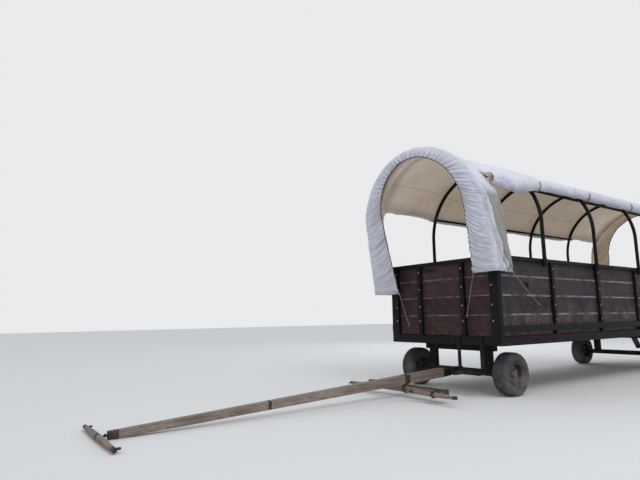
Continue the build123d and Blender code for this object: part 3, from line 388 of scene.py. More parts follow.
# Canvas top
# One sheet of cotton duck, sewn from long panels with felled seams: bluish white outside, the blue tint
# painted sky light, and tan inside, lightened as painted light shining through the cloth.
# It lies on the hoops, and each lower edge is rolled up under itself by hand and tied at every hoop.
def cotton_duck(tree, given):
    axes = axes_of(tree, given["Place"])
    warp, weft = [math_node(tree, "SINE", times(tree, axes[axis], 2600.0)) for axis in "XY"]
    slubs = noise(tree, given["Place"], 160.0, 3.0)
    stains = noise(tree, given["Place"], 2.3, 7.0, 0.62)
    soil_and_crease_shade = times(tree, ramp(tree, stains, 0.36, 0.74), given["Soiling"])
    # painted shade: in creases the cloth takes the soil colour, so creases read darker
    soil_and_crease_shade = math_node(tree, "MAXIMUM", soil_and_crease_shade, times(tree, given["Fold"], 0.92))
    colour = mix_colour(tree, soil_and_crease_shade, given["Cloth"], given["Soil"])
    colour = mix_colour(tree, times(tree, given["Seam"], 0.45), colour, given["Soil"])
    # painted shade: deep creases darken the cloth further, down to 55 per cent
    depth = ramp(tree, given["Fold"], 0.50, 1.0, 1.0, 0.55)
    slub_tone_and_crease_shade = times(tree, ramp(tree, slubs, 0.2, 0.8, 0.93, 1.05), depth)
    weave = times(tree, times(tree, warp, weft), 0.25)
    relief = math_node(tree, "ADD", weave, times(tree, given["Seam"], 1.2))
    return {
        "Colour": scaled(tree, colour, slub_tone_and_crease_shade),
        "Height": math_node(tree, "ADD", relief, times(tree, slubs, 0.45)),
    }


duck_group = new_group(
    "cotton duck",
    {
        "Place": "Vector", "Cloth": "Color", "Soil": "Color", "Soiling": "Float", "Seam": "Float",
        "Fold": "Float",
    },
    {"Colour": "Color", "Height": "Float"}, cotton_duck,
)


# seams are pairs of an axis of the flat cloth and the distance along it at which a felled seam runs
def duck(name, cloth, soil_and_shade, soiling, seams, seam_width=0.011):
    material, tree, shader = new_material(name)
    place = add_node(tree, "ShaderNodeUVMap", uv_map="flat").outputs["UV"]
    axes = axes_of(tree, place)
    seam_mask = 0.0
    for axis, seam in seams:
        off = math_node(tree, "ABSOLUTE", math_node(tree, "SUBTRACT", axes[axis], seam))
        seam_mask = math_node(tree, "MAXIMUM", seam_mask, ramp(tree, off, seam_width, 0.7 * seam_width))
    # the mesh attribute read here holds each point's painted shade in the creases
    crease_shade = add_node(tree, "ShaderNodeAttribute", attribute_name="crease_shade").outputs["Fac"]
    cotton = use_group(
        tree, duck_group, Place=place, Cloth=cloth, Soil=soil_and_shade, Soiling=soiling, Seam=seam_mask, Fold=crease_shade
    )
    set_inputs(tree, shader, {
        "Base Color": cotton["Colour"], "Roughness": 0.88, "Sheen Weight": 0.08, "Subsurface Weight": 0.55,
        "Subsurface Radius": (1.0, 0.85, 0.72), "Subsurface Scale": 0.006,
    })
    bump(tree, shader, cotton["Height"], 0.4, 0.0008)
    return material


def select_only(piece):
    bpy.ops.object.select_all(action="DESELECT")
    bpy.context.view_layer.objects.active = piece
    piece.select_set(True)


# flat gives each point's place on the flat cloth, webbing or cord
def flat_mesh(name, points, faces, flat, *materials):
    mesh = bpy.data.meshes.new(name)
    mesh.from_pydata(points, [], faces)
    for material in materials:
        mesh.materials.append(material)
    layer = mesh.uv_layers.new(name="flat")
    for loop in mesh.loops:
        layer.data[loop.index].uv = flat[loop.vertex_index]
    piece = bpy.data.objects.new(name, mesh)
    bpy.context.collection.objects.link(piece)
    return piece


def thicken(piece, thickness, offset, inner_material=0):
    wall = piece.modifiers.new("wall", "SOLIDIFY")
    wall.thickness = thickness
    wall.offset = offset
    wall.material_offset = inner_material
    bpy.ops.object.modifier_apply(modifier="wall")


# this table gives each point's painted shade in the creases, from 0 to 1, more in deeper creases
def cloth_mesh(name, rows, flat_rows, outside, inside, crease_shades):
    wide = len(rows[0])
    quads = []
    for row in range(len(rows) - 1):
        for column in range(wide - 1):
            first = row * wide + column
            quads.append((first, first + wide, first + 1 + wide, first + 1))
    points, flat = [[value for row in table for value in row] for table in (rows, flat_rows)]
    cloth = flat_mesh(name, points, quads, flat, outside, inside)
    depth = cloth.data.attributes.new("crease_shade", "FLOAT", "POINT")
    depth.data.foreach_set("value", [value for row in crease_shades for value in row])
    select_only(cloth)
    bpy.ops.object.shade_smooth()
    thicken(cloth, duck_thickness, -1, 1)
    cloth.select_set(False)
    return cloth


def smooth(low, high, value):
    share = min(1.0, max(0.0, (value - low) / (high - low)))
    return share * share * (3 - 2 * share)


duck_thickness = 0.0016
# painted light: the blue tint in this white stands for sky light on the cloth
white_with_painted_skylight = (0.62, 0.627, 0.735, 1)
# painted light: this tan is lightened to stand for daylight shining through the cloth
tan_with_painted_light = (0.90, 0.765, 0.66, 1)
# the soil colours serve real stains and also the painted shade in the creases
outside_soil_and_shade = (0.31, 0.295, 0.235, 1)
inside_soil_and_shade = (0.52, 0.42, 0.33, 1)
hoop_axis = 2.180
top_radius = 0.9705
top_start = front_face - 0.150
top_end = rear_face + 0.150
left_roll_height = 2.728
right_roll_height = 2.560
droop_depth = 0.115
droop_middle = 0.34
droop_spread = 0.50
roll_size = 0.077
layer_step = 0.0165
tie_reach = 0.07
tie_squeeze = 0.17
hoop_sag = 0.016
roll_turns = 3.2
steps_per_turn = 18
roll_steps = int(roll_turns * steps_per_turn) + 1
lead_steps = 8
end_reach = 0.62
hoop_places = [front_face + 1.0 + 4.1 / 3 * number for number in range(4)]
chance = random.Random(11)
roll_lumps = [[chance.uniform(0, 6.28) for number in range(6)] for side in range(2)]


# how near a place on the wagon is to the nearest tie, as a share that is 1 at the tie
def tie_pull(x):
    return max(math.exp(-((x - place) / tie_reach) ** 2) for place in hoop_places)


def crumple_at(*place):
    return 0.3 - abs(cloth_noise.noise(Vector(place)))


# the left roll droops between the first hoop and the hood, where nothing holds it
def roll_place(x, side):
    from_end = min(x - front_face, rear_face - x)
    if side < 0:
        droop = droop_depth * math.exp(-((from_end - droop_middle) / droop_spread) ** 2)
        height = left_roll_height - droop - 0.020 * smooth(2.0, 1.0, from_end)
        loose = 0.22 * smooth(1.15, 0.55, from_end)
    else:
        height = right_roll_height + 0.075 * smooth(1.30, 0.45, from_end)
        loose = 0.10 * smooth(1.0, 0.4, from_end)
    girth = roll_size * (1 + loose)
    return math.asin((height - hoop_axis) / (top_radius + girth)), girth


# the left edge is rolled under, so its roll is white; the right edge is rolled outwards and shows tan
def roll_section(x, side, lumps, valley):
    centre_angle, girth = roll_place(x, side)
    out = Vector((0, side * math.cos(centre_angle), math.sin(centre_angle)))
    down = Vector((0, side * math.sin(centre_angle), -math.cos(centre_angle)))
    pull = tie_pull(x)
    from_end = min(x - front_face, rear_face - x)
    slack = smooth(0.9, 0.2, from_end)
    girth *= 1 - tie_squeeze * pull
    girth *= 1 + 0.035 * math.sin(5.1 * x + lumps[0]) + 0.025 * math.sin(12.7 * x + lumps[1])
    if side < 0:
        girth *= 1 - 0.34 * smooth(0.16, -0.12, from_end)
    centre = Vector((x, 0, hoop_axis)) + out * (top_radius + 0.001 + girth)
    centre += out * (-0.008 * pull) + down * 0.006 * math.sin(3.3 * x + lumps[2])
    start, forward, backward = (12, out, down) if side < 0 else (2, down, out)
    turn_points, turn_crease_shades = [], []
    for step in range(roll_steps):
        turn = math.radians(start) + step / steps_per_turn * math.tau
        inward = (turn / math.tau) * (layer_step + 0.004 * slack) * girth / roll_size
        crease = 1 + 0.03 * math.sin(2 * turn + 7 * x + lumps[3])
        crease += (0.022 + 0.030 * slack) * math.sin(3 * turn - 17 * x + lumps[4])
        crease += 0.022 * slack * math.sin(5 * turn - 31 * x + lumps[5])
        crease += 0.03 * pull * math.sin(7 * turn + 40 * x)
        crumple = crumple_at(13 * x, 1.3 * turn + 2.5 * x, 3.0 + side)
        crumple += 0.6 * crumple_at(29 * x, 2.2 * turn - 6.0 * x, 8.0 + side)
        crease += (0.07 + 0.33 * slack) * crumple * smooth(math.tau, 0.8 * math.tau, turn)
        # painted shade in the creases of the crumpled roll
        turn_crease_shades.append((0.12 + 0.26 * slack) * smooth(0.16, -0.20, crumple))
        if side > 0:
            crease = 1 + (crease - 1) * smooth(0.0, 0.5, turn)
        reach = max(0.006, (girth - inward) * crease)
        turn_points.append(centre + reach * (forward * math.sin(turn) - backward * math.cos(turn)))

    # an even curve leads from the arch into the roll
    lead = centre_angle + valley
    leave = Vector((x, side * top_radius * math.cos(lead), hoop_axis + top_radius * math.sin(lead)))
    arrive = turn_points[0]
    span = 1.1 * (arrive - leave).length
    leaving = span * Vector((0, side * math.sin(lead), -math.cos(lead)))
    arriving = span * (turn_points[1] - turn_points[0]).normalized()
    lead_points = []
    for step in range(1, lead_steps + 1):
        share = step / (lead_steps + 1)
        rest = 1 - share
        lead_points.append(
            (1 + 2 * share) * rest ** 2 * leave + share * rest ** 2 * leaving
            + share * share * (3 - 2 * share) * arrive - share * share * rest * arriving
        )
    return lead_points + turn_points, [0.0] * lead_steps + turn_crease_shades


# how far behind the cloth's end each column's edge lies: the rolled layers stand back one behind another
def edge_back(side, depth):
    outer, each_turn = (0.095, 0.045) if side < 0 else (0.045, 0.028)
    if depth >= lead_steps + roll_steps:
        return 0.0
    if depth >= roll_steps:
        return outer * smooth(lead_steps + roll_steps, roll_steps, depth)
    return outer + each_turn * (roll_steps - depth) / steps_per_turn


# the rows lie closer together towards both ends, where the cloth is loose and creased
row_count = 256
base_places = []
for number in range(row_count + 1):
    share = number / row_count
    crowded = share - 0.55 * math.sin(math.tau * share) / math.tau
    base_places.append(top_start + (top_end - top_start) * crowded)
arch_steps = 56
held_places = hoop_places + [front_face - 0.20, rear_face + 0.20]
top_rows, top_crease_shades = [], []
for x in base_places:
    left_valley = math.radians(17) - math.radians(5) * tie_pull(x)
    right_valley = math.radians(8)
    left_part, left_crease_shades = roll_section(x, -1, roll_lumps[0], left_valley)
    right_part, right_crease_shades = roll_section(x, 1, roll_lumps[1], right_valley)
    start_angle = math.pi - (roll_place(x, -1)[0] + left_valley)
    stop_angle = roll_place(x, 1)[0] + right_valley
    between = min(abs(x - place) for place in held_places)
    hang = hoop_sag * smooth(0.03, 0.55, between)
    arch = []
    for step in range(arch_steps + 1):
        share = step / arch_steps
        angle = start_angle + (stop_angle - start_angle) * share
        ripple = 0.0022 * math.sin(9 * angle + 2.4 * x) * smooth(0, 0.1, between)
        ripple += 0.0016 * math.sin(31 * angle - 5.3 * x + 1.3) * smooth(0, 0.08, between)
        ends = smooth(0, 0.12, share) * smooth(1, 0.88, share)
        radius = top_radius - (hang * (0.75 + 0.25 * math.sin(5 * angle + x)) + ripple) * ends
        arch.append(Vector((x, radius * math.cos(angle), hoop_axis + radius * math.sin(angle))))
    top_rows.append(left_part[::-1] + arch + right_part)
    top_crease_shades.append(left_crease_shades[::-1] + [0.0] * len(arch) + right_crease_shades)
wide = len(top_rows[0])
for row, x in zip(top_rows, base_places):
    near_front = max(0.0, 1 - (x - top_start) / end_reach)
    near_rear = max(0.0, 1 - (top_end - x) / end_reach)
    for column, point in enumerate(row):
        back = edge_back(-1, column) if column < wide / 2 else edge_back(1, wide - 1 - column)
        point.x = x + back * near_front - back * near_rear

# the flat cloth is measured along the middle row, and its columns keep those distances
middle_row = top_rows[len(top_rows) // 2]
across = [0.0]
for first, second in zip(middle_row, middle_row[1:]):
    across.append(across[-1] + (second - first).length)
crown_across = across[len(left_part) + arch_steps // 2]
top_flat = [
    [(distance - crown_across, point.x - top_start) for distance, point in zip(across, row)]
    for row in top_rows
]
top_seams = [("X", place) for place in (-1.52, -0.62, 0.0, 0.62, 1.52)] + [("Y", 2.05), ("Y", 4.35)]
top_white = duck("canvas_white", white_with_painted_skylight, outside_soil_and_shade, 0.35, top_seams)
top_tan = duck("canvas_tan", tan_with_painted_light, inside_soil_and_shade, 0.40, top_seams)
canvas_top = cloth_mesh("canvas_top_cloth", top_rows, top_flat, top_white, top_tan, top_crease_shades)
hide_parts("canvas_top")
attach(canvas_top, "wagon")


# Canvas hoods
# A short arch of the same duck stands out round the leaning hoop at each end. A cord in the hem draws its
# open edge in, so it stands in uneven ruffles, and the near flap is pulled taut to its lower back corner.
bow_foot_height = 1.660
flap_feet = (1.49, 1.29)
hood_columns = 700
back_rows = 34
lip_rows = 26
row_total = back_rows + lip_rows + 1
hem_radius = 0.006
hem_steps = 6
corner = 0.040
foot_draw = 0.062
crown_skew = 0.065
ruffle_height = 0.0255
ruffle_sag = 0.055
lip_swell = 0.016
crumple_size = 0.0045
flap_crumple = 0.0155
ring_leg = 0.75
ring_arc = math.pi
ring_length = 2 * ring_leg + ring_arc
# half width, top, reach behind the box's end at the hoop's foot, lean in degrees
ring_table = {
    "back": (0.9775, 3.158, 0.188, 11.3),
    "crown": (1.0195, 3.203, -0.240, 7.7),
    "drawn": (0.7330, 3.060, -0.165, 12.3),
    "hoop": (0.9420, 3.122, 0.035, 14.3),
}
# height and reach behind the box's end along the back edge of the left and the right flap
left_edge = [
    (1.29, 0.222), (1.49, 0.217), (1.75, 0.197), (1.95, 0.164), (2.13, 0.104), (2.27, 0.080), (2.45, 0.072),
    (2.55, 0.080), (2.62, -0.015), (2.72, -0.042), (2.90, -0.048), (3.30, -0.110),
]
right_edge = [
    (1.29, 0.090), (1.66, 0.050), (2.30, -0.085), (2.48, -0.080), (2.57, -0.020), (2.90, -0.030),
    (3.30, -0.110),
]
# distance from the foot and share of the flap's width from its back edge, along the taut pull line
pull_line = [(0.0, 0.16), (0.13, 0.42), (0.40, 0.68), (0.62, 0.82), (0.83, 0.90), (1.04, 0.97), (9.0, 1.0)]
pull_ridge = 0.036
pull_valley = 0.050
pull_width = 0.040
right_pull = 0.45
# share at the foot, lean, height and reach upwards of the looser folds at the flap's foot
foot_folds = [
    (0.50, 0.42, 0.024, 0.75), (0.68, 0.36, 0.020, 0.60), (0.84, 0.25, 0.018, 0.60),
    (0.34, 0.30, 0.012, 0.40),
]
fold_width = 0.040
ruffle_widths = (0.028, 0.038, 0.048, 0.060, 0.075, 0.105)


def between_rows(table, value):
    for (low, at_low), (high, at_high) in zip(table, table[1:]):
        if value <= high:
            return at_low + (at_high - at_low) * max(0.0, value - low) / (high - low)
    return table[-1][1]


# reach runs from the box's end towards its middle, at the front and at the rear alike
def at_end(end, reach, side, height):
    return Vector((front_face + reach if end < 0 else rear_face - reach, side, height))


# distance runs from the left foot over the top to the right foot, as leg, arc and leg
def ring_point(ring, distance, feet):
    half, top, reach, lean = ring_table[ring]
    lean = math.radians(lean)
    spring = (top - bow_foot_height) / math.cos(lean) - half
    low = [(foot - bow_foot_height) / math.cos(lean) for foot in feet]
    if ring == "drawn":
        to_foot = max(0.0, (ring_leg - min(distance, ring_length - distance)) / ring_leg)
        half -= foot_draw * to_foot ** 1.6
    if distance < ring_leg:
        y, up = -half, low[0] + (spring - low[0]) * distance / ring_leg
    elif distance > ring_leg + ring_arc:
        y, up = half, spring + (low[1] - spring) * (distance - ring_leg - ring_arc) / ring_leg
    else:
        angle = math.pi * (1 - (distance - ring_leg) / ring_arc)
        y, up = half * math.cos(angle), spring + half * math.sin(angle)
    point = Vector((reach - up * math.sin(lean), y, bow_foot_height + up * math.cos(lean)))
    if ring == "crown":
        point.x -= crown_skew * y
    if ring == "back":
        point.x = between_rows(left_edge if y < 0 else right_edge, point.z)
    return point


def hood_cloth(name, end, seed):
    chance = random.Random(seed)

    # ruffles have uneven widths and heights, and lean a little to one side
    ruffles = []
    at = 0.0
    while at < ring_length:
        wide = chance.choice(ruffle_widths) * chance.uniform(0.85, 1.15)
        tall = chance.uniform(0.60, 1.20) * (0.30 + 0.70 * min(1.0, wide / 0.06))
        ruffles.append((at, wide, tall, chance.uniform(0.45, 1.5), chance.uniform(-1, 1)))
        at += wide

    def ruffle(distance, to_edge):
        wander = 0.040 * math.sin(7.3 * distance + seed) + 0.016 * math.sin(23 * distance + 2 * seed)
        distance += to_edge * wander
        for start, wide, tall, reach, tilt in reversed(ruffles):
            if start <= distance:
                break
        share = min(1.0, max(0.0, (distance - start) / wide))
        ridge = math.sin(math.pi * share ** (1 + 0.25 * tilt)) ** 0.72
        growth = smooth(0.62 + 0.42 * reach, 0.10, to_edge)
        # the second value is painted shade in the valleys between ruffles
        return ridge * tall * growth, (1 - ridge) ** 1.5 * growth * min(1.0, tall + 0.15)

    rows = [[] for row in range(row_total + hem_steps)]
    flat = [[] for row in rows]
    crease_shades = [[] for row in rows]
    for column in range(hood_columns + 1):
        distance = ring_length * column / hood_columns
        back, crown, drawn = [ring_point(ring, distance, flap_feet) for ring in ("back", "crown", "drawn")]
        low, high = max(0.0, distance - 0.004), min(ring_length, distance + 0.004)
        around = (ring_point("crown", high, flap_feet) - ring_point("crown", low, flap_feet)).normalized()
        from_foot = min(distance, ring_length - distance)
        left = distance < ring_length / 2
        side_share = smooth(ring_leg + 0.55, ring_leg - 0.05, from_foot)
        back_length = (crown - back).length
        lip_length = (drawn - crown).length
        back_way = (crown - back).normalized()
        lip_way = (drawn - crown).normalized()

        # rounded path from the back edge over the crown ring to the drawn edge
        shaped = []
        for row in range(row_total):
            if row <= back_rows:
                along = back_length * row / back_rows
            else:
                along = back_length + lip_length * (row - back_rows) / lip_rows
            off = along - back_length
            if abs(off) < corner:
                share = (off + corner) / (2 * corner)
                first, last = crown - back_way * corner, crown + lip_way * corner
                spot = first * (1 - share) ** 2 + crown * 2 * share * (1 - share) + last * share ** 2
                way = (back_way * (1 - share) + lip_way * share).normalized()
            elif off < 0:
                spot, way = back.lerp(crown, along / back_length), back_way
            else:
                spot, way = crown.lerp(drawn, off / lip_length), lip_way
            face = around.cross(way).normalized()

            # ruffles and crumples, with painted shade in their creases
            to_edge = 1 - off / lip_length
            sag = ruffle_sag * side_share * math.sin(math.pi * min(1, max(0, to_edge / 1.2)))
            ridge, crease_shade = ruffle(distance + (sag if left else -sag), max(0.0, to_edge))
            height = (ruffle_height + 0.002 * side_share) * ridge
            height += lip_swell * math.sin(math.pi * min(1, max(0, to_edge))) * (off > 0)
            crumple = crumple_at(14.4 * distance, 9.0 * along, seed)
            crumple += 0.5 * crumple_at(33.6 * distance, 21.0 * along, seed)
            crumple_height = (crumple_size + flap_crumple * side_share) * crumple
            height += crumple_height
            # painted shade in the crumples' creases on the flaps
            crease_shade = max(crease_shade, 0.30 * smooth(0.20, -0.15, crumple) * side_share * (off > 0))
            # painted shade close to the hood's feet
            crease_shade = max(crease_shade, 0.55 * smooth(0.055, 0.0, from_foot))

            # the taut line, painted shade over the strip behind it, and the looser folds at the foot with
            # painted shade in their creases
            if off < 0.06:
                share = min(1.0, along / back_length)
                line = between_rows(pull_line, from_foot)
                strength = smooth(1.20, 0.95, from_foot) * (1.0 if left else right_pull)
                ridge_here = math.exp(-((share - line) / pull_width) ** 2)
                valley_here = math.exp(-((share - line + 0.12) / 0.070) ** 2)
                valley_here += 0.5 * math.exp(-((share - line - 0.12) / 0.050) ** 2)
                height += strength * (pull_ridge * ridge_here - pull_valley * valley_here)
                height -= 0.65 * smooth(0.9, 0.3, from_foot) * crumple_height
                # painted shade in the valley beside the taut line, and over the strip behind it
                crease_shade = max(crease_shade, min(1.0, 1.05 * strength * valley_here))
                crease_shade = max(crease_shade, 0.84 * strength * smooth(line - 0.03, line - 0.11, share))
                for place, lean, tall, reach in foot_folds:
                    here = (share - place - lean * from_foot) / fold_width
                    crease = math.exp(-(here + 2.1) ** 2)
                    low_share = smooth(reach, 0.0, from_foot)
                    height += tall * low_share * (math.exp(-here ** 2) - 0.8 * crease)
                    # painted shade in the creases of the foot folds
                    crease_shade = max(crease_shade, 0.85 * low_share * crease)
                height -= 0.010 * math.sin(math.pi * share) * (1 - side_share)
                height += 0.010 * strength * math.sin(9 * from_foot + 1.0) * smooth(0.3, 0.0, share)
            shaped.append((spot + face * height, along, crease_shade))

        # the drawn edge turns inwards round the cord in its hem
        edge = shaped[-1][0]
        for step in range(1, hem_steps + 1):
            turn = math.radians(50 * step)
            bend = face * hem_radius * (math.cos(turn) - 1) + way * hem_radius * math.sin(turn)
            shaped.append((edge + bend, back_length + lip_length + hem_radius * 0.87 * step, crease_shade))
        for row, (spot, along, crease_shade) in enumerate(shaped):
            rows[row].append(at_end(end, *spot))
            flat[row].append((distance, along))
            crease_shades[row].append(crease_shade)
    edge_points = [point.copy() for point in rows[row_total - 1]]
    if end < 0:
        rows, flat, crease_shades = rows[::-1], flat[::-1], crease_shades[::-1]
    seams = [("X", 0.03), ("X", ring_length - 0.03), ("Y", 0.028)]
    white = duck(f"{name}_white", white_with_painted_skylight, outside_soil_and_shade, 0.45, seams, 0.006)
    inner = duck(f"{name}_tan", tan_with_painted_light, inside_soil_and_shade, 0.40, seams, 0.006)
    hood = cloth_mesh(f"{name}_cloth", rows, flat, white, inner, crease_shades)
    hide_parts(name, f"{name}_lip")
    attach(hood, "wagon")
    wide = max(point[1] for row in flat for point in row)
    return edge_points


front_edge = hood_cloth("front_hood", -1, 5)
rear_edge = hood_cloth("rear_hood", 1, 6)


# Drawcords, hoop sleeves and tie ropes of the hoods
# A cord lies in each drawn hem, near black as painted shade along the hem's inside edge, and the end hoops
# run in a sewn sleeve of the tan cloth. Thin hemp ropes with a knot at each end hold the flaps' corners down
# to eyes on the box.
def swept_tube(name, path, radius, sides, material, lay=0.0, strands=0):
    points, flat = [], []
    length = 0.0
    side_way = None
    for number, spot in enumerate(path):
        before = path[max(0, number - 1)]
        after = path[min(len(path) - 1, number + 1)]
        way = (after - before).normalized()
        if side_way is None:
            side_way = way.orthogonal().normalized()
        side_way = (side_way - way * side_way.dot(way)).normalized()
        other = way.cross(side_way)
        if number:
            length += (spot - before).length
        for side in range(sides):
            turn = math.tau * side / sides
            reach = radius
            if strands:
                reach *= 0.84 + 0.16 * abs(math.cos(0.5 * strands * (turn + lay * length)))
            points.append(spot + reach * (side_way * math.cos(turn) + other * math.sin(turn)))
            flat.append((length, side / sides * math.tau * radius))
    faces = []
    for start in range(0, len(points) - sides, sides):
        for side in range(sides):
            following = (side + 1) % sides
            faces.append((start + side, start + following, start + sides + following, start + sides + side))
    faces.append(tuple(range(sides))[::-1])
    faces.append(tuple(range(len(points) - sides, len(points))))
    tube = flat_mesh(name, points, faces, flat, material)
    tube.data.shade_smooth()
    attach(tube, "wagon")


def rope_material(name, colour, dark, scale):
    material, tree, shader = new_material(name)
    place = add_node(tree, "ShaderNodeUVMap", uv_map="flat").outputs["UV"]
    fibres = noise(tree, place, scale, 5.0, 0.7)
    worn = ramp(tree, noise(tree, place, 6.0, 4.0, 0.6), 0.5, 0.8, 0.0, 0.5)
    twisted = mix_colour(tree, ramp(tree, fibres, 0.35, 0.7), dark, colour)
    set_inputs(tree, shader, {"Base Color": mix_colour(tree, worn, twisted, dark), "Roughness": 0.9})
    bump(tree, shader, fibres, 0.6, 0.0008)
    return material


# the drawcord's near black colour is painted shade along the inside of the hem
drawcord_painted_shade = rope_material("drawcord_painted_shade", (0.060, 0.050, 0.052, 1), (0.020, 0.018, 0.020, 1), 900.0)
hemp = rope_material("hemp", (0.36, 0.31, 0.25, 1), (0.15, 0.12, 0.095, 1), 700.0)
sleeve_tan = duck("sleeve_tan", tan_with_painted_light, inside_soil_and_shade, 0.5, [("Y", 0.0)], 0.004)
iron_eye = painted_steel("eye_iron", (0.05, 0.046, 0.045, 1), (0.17, 0.11, 0.07, 1), 0.10, road_dust, 0.6)
ring_middle = 2.33
cord_radius = 0.0055
cord_inset = 0.007
hoop_foot = (1.66, 1.66)
sleeve_radius = 0.0305
sleeve_start = 0.42
sleeve_steps = 160
rope_radius = 0.0045
rope_steps = 40
rope_sag = 0.012
knot_steps = 48
knot_turns = 3
knot_radius = 0.0062
knot_length = 0.024
knot_strand = 0.0042
eye_radius = 0.013
eye_rod = 0.0035
# each rope runs from a flap's corner to an eye on the box: reach, side and height of both ends
tie_ropes = [
    ("hem_rope_left", (-0.128, -0.668, 1.502), (-0.016, -0.440, 0.956), "front"),
    ("corner_rope_left", (0.205, -0.979, 1.502), (0.828, -0.927, 1.094), "side"),
    ("hem_rope_right", (-0.088, 0.668, 1.302), (-0.016, 0.560, 0.835), "front"),
    ("corner_rope_right", (0.085, 0.979, 1.302), (0.760, 0.927, 0.960), "side"),
]
for end_name, end, edge in (("front", -1, front_edge), ("rear", 1, rear_edge)):
    cord_path = []
    for point in edge[4:-4:3]:
        inward = Vector((0, -point.y, ring_middle - point.z)).normalized()
        cord_path.append(point + Vector((-end * 0.004, 0, 0)) + inward * cord_inset)
    swept_tube(f"{end_name}_drawcord", cord_path, cord_radius, 8, drawcord_painted_shade)
    sleeve_path = []
    for step in range(sleeve_steps + 1):
        distance = sleeve_start + (ring_length - 2 * sleeve_start) * step / sleeve_steps
        sleeve_path.append(at_end(end, *ring_point("hoop", distance, hoop_foot)))
    swept_tube(f"{end_name}_hoop_sleeve", sleeve_path, sleeve_radius, 20, sleeve_tan, 26.0, 5)

for end_name, end in (("front", -1), ("rear", 1)):
    for rope_name, top, foot, wall in tie_ropes:
        name = f"{end_name}_{rope_name}"
        start, stop = at_end(end, *top), at_end(end, *foot)
        path = []
        for step in range(rope_steps + 1):
            share = step / rope_steps
            path.append(start.lerp(stop, share) - Vector((0, 0, rope_sag * math.sin(math.pi * share))))
        swept_tube(name, path, rope_radius, 12, hemp, 420.0, 3)
        knot_way = (start - stop).normalized()
        for label, spot, way in (("knot", start, -knot_way), ("hitch", stop, knot_way)):
            side_way = way.orthogonal().normalized()
            other = way.cross(side_way)
            loops = []
            for step in range(knot_steps + 1):
                turn = math.tau * knot_turns * step / knot_steps
                climb = 0.004 + knot_length * step / knot_steps
                around = side_way * math.cos(turn) + other * math.sin(turn)
                loops.append(spot + way * climb + knot_radius * around)
            swept_tube(f"{name}_{label}", loops, knot_strand, 8, hemp)

        # the eye is a bent rod pressed against the box
        bpy.ops.mesh.primitive_torus_add(
            major_radius=eye_radius, minor_radius=eye_rod, major_segments=24, minor_segments=10,
            location=stop,
        )
        eye = bpy.context.object
        eye.name = f"{name}_eye"
        eye.rotation_euler = (0.0, math.pi / 2, 0.0) if wall == "side" else (math.pi / 2, 0.0, 0.0)
        bpy.ops.object.transform_apply(location=True, rotation=True, scale=True)
        bpy.ops.object.shade_smooth()
        eye.data.materials.append(iron_eye)
        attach(eye, "wagon")


# Tie straps at the hoops
# A strip of cotton webbing goes once round the roll and the hoop at each of the four hoops, on both sides,
# and holds the roll up. It is sewn to a loop and bites a little into the roll.
webbing = rope_material("webbing", (0.40, 0.36, 0.32, 1), (0.20, 0.17, 0.15, 1), 420.0)
strap_half = 0.019
strap_thickness = 0.0022
strap_steps = 40
strap_squeeze = 0.83
round_roll = 0.009
round_hoop = 0.027
hoop_line = 0.942
for side, side_name in ((-1, "left"), (1, "right")):
    for number, x in enumerate(hoop_places):
        lean, girth = roll_place(x, side)
        out = Vector((0, side * math.cos(lean), math.sin(lean)))
        down = Vector((0, side * math.sin(lean), -math.cos(lean)))
        girth *= strap_squeeze
        axis = Vector((x, 0, hoop_axis))
        middle = axis + out * (top_radius - 0.007 + girth)
        middle += down * 0.006 * math.sin(3.3 * x + roll_lumps[max(side, 0)][2])
        rounds = []
        for step in range(strap_steps):
            turn = math.tau * step / strap_steps
            for centre, radius in ((middle, girth + round_roll), (axis + out * hoop_line, round_hoop)):
                y = centre.y + radius * math.cos(turn)
                rounds.append(Vector((y, centre.z + radius * math.sin(turn))))
        points, faces, flat = [], [], []
        for index in geometry.convex_hull_2d(rounds):
            y, z = rounds[index]
            around = math.atan2(z - middle.z, y - middle.y) * girth
            for half in (-strap_half, strap_half):
                points.append((x + half, y, z))
                flat.append((half, around))
        for first in range(0, len(points), 2):
            following = (first + 2) % len(points)
            faces.append((first, following, following + 1, first + 1))
        strap = flat_mesh(f"tie_strap_{side_name}_{number + 1}", points, faces, flat, webbing)
        select_only(strap)
        bpy.ops.object.mode_set(mode="EDIT")
        bpy.ops.mesh.select_all(action="SELECT")
        bpy.ops.mesh.normals_make_consistent(inside=False)
        bpy.ops.object.mode_set(mode="OBJECT")
        thicken(strap, strap_thickness, 1)
        bpy.ops.object.shade_smooth_by_angle(angle=math.radians(40))
        strap.select_set(False)
        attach(strap, "wagon")


# Bolts, corner angles, hand slots and the front bracket
# Plated carriage bolts hold the planks to the posts. A grey painted angle stiffens each front corner, an iron
# frame lines the hand slot in each side's third plank, and a bent iron bracket is screwed to the front.
def pick_faces(piece, chosen):
    bpy.ops.object.mode_set(mode="EDIT")
    bpy.ops.mesh.select_mode(type="FACE")
    bpy.ops.mesh.select_all(action="DESELECT")
    bpy.ops.object.mode_set(mode="OBJECT")
    for face in piece.data.polygons:
        face.select = chosen(face)
    bpy.ops.object.mode_set(mode="EDIT")


# steps are the thickness and the depth of one inset after another
def inset(*steps):
    for thickness, depth in steps:
        bpy.ops.mesh.inset(thickness=thickness, depth=depth)


def bevel_all(width):
    bpy.ops.mesh.select_all(action="SELECT")
    bpy.ops.mesh.bevel(offset=width, segments=2, affect="EDGES")
    bpy.ops.object.mode_set(mode="OBJECT")


# a rod along z with its top face picked
def start_rod(name, sides, radius, depth, middle):
    bpy.ops.object.select_all(action="DESELECT")
    bpy.ops.mesh.primitive_cylinder_add(vertices=sides, radius=radius, depth=depth, location=(0, 0, middle))
    rod = bpy.context.object
    rod.name = name
    pick_faces(rod, lambda face: face.normal.z > 0.5)
    return rod


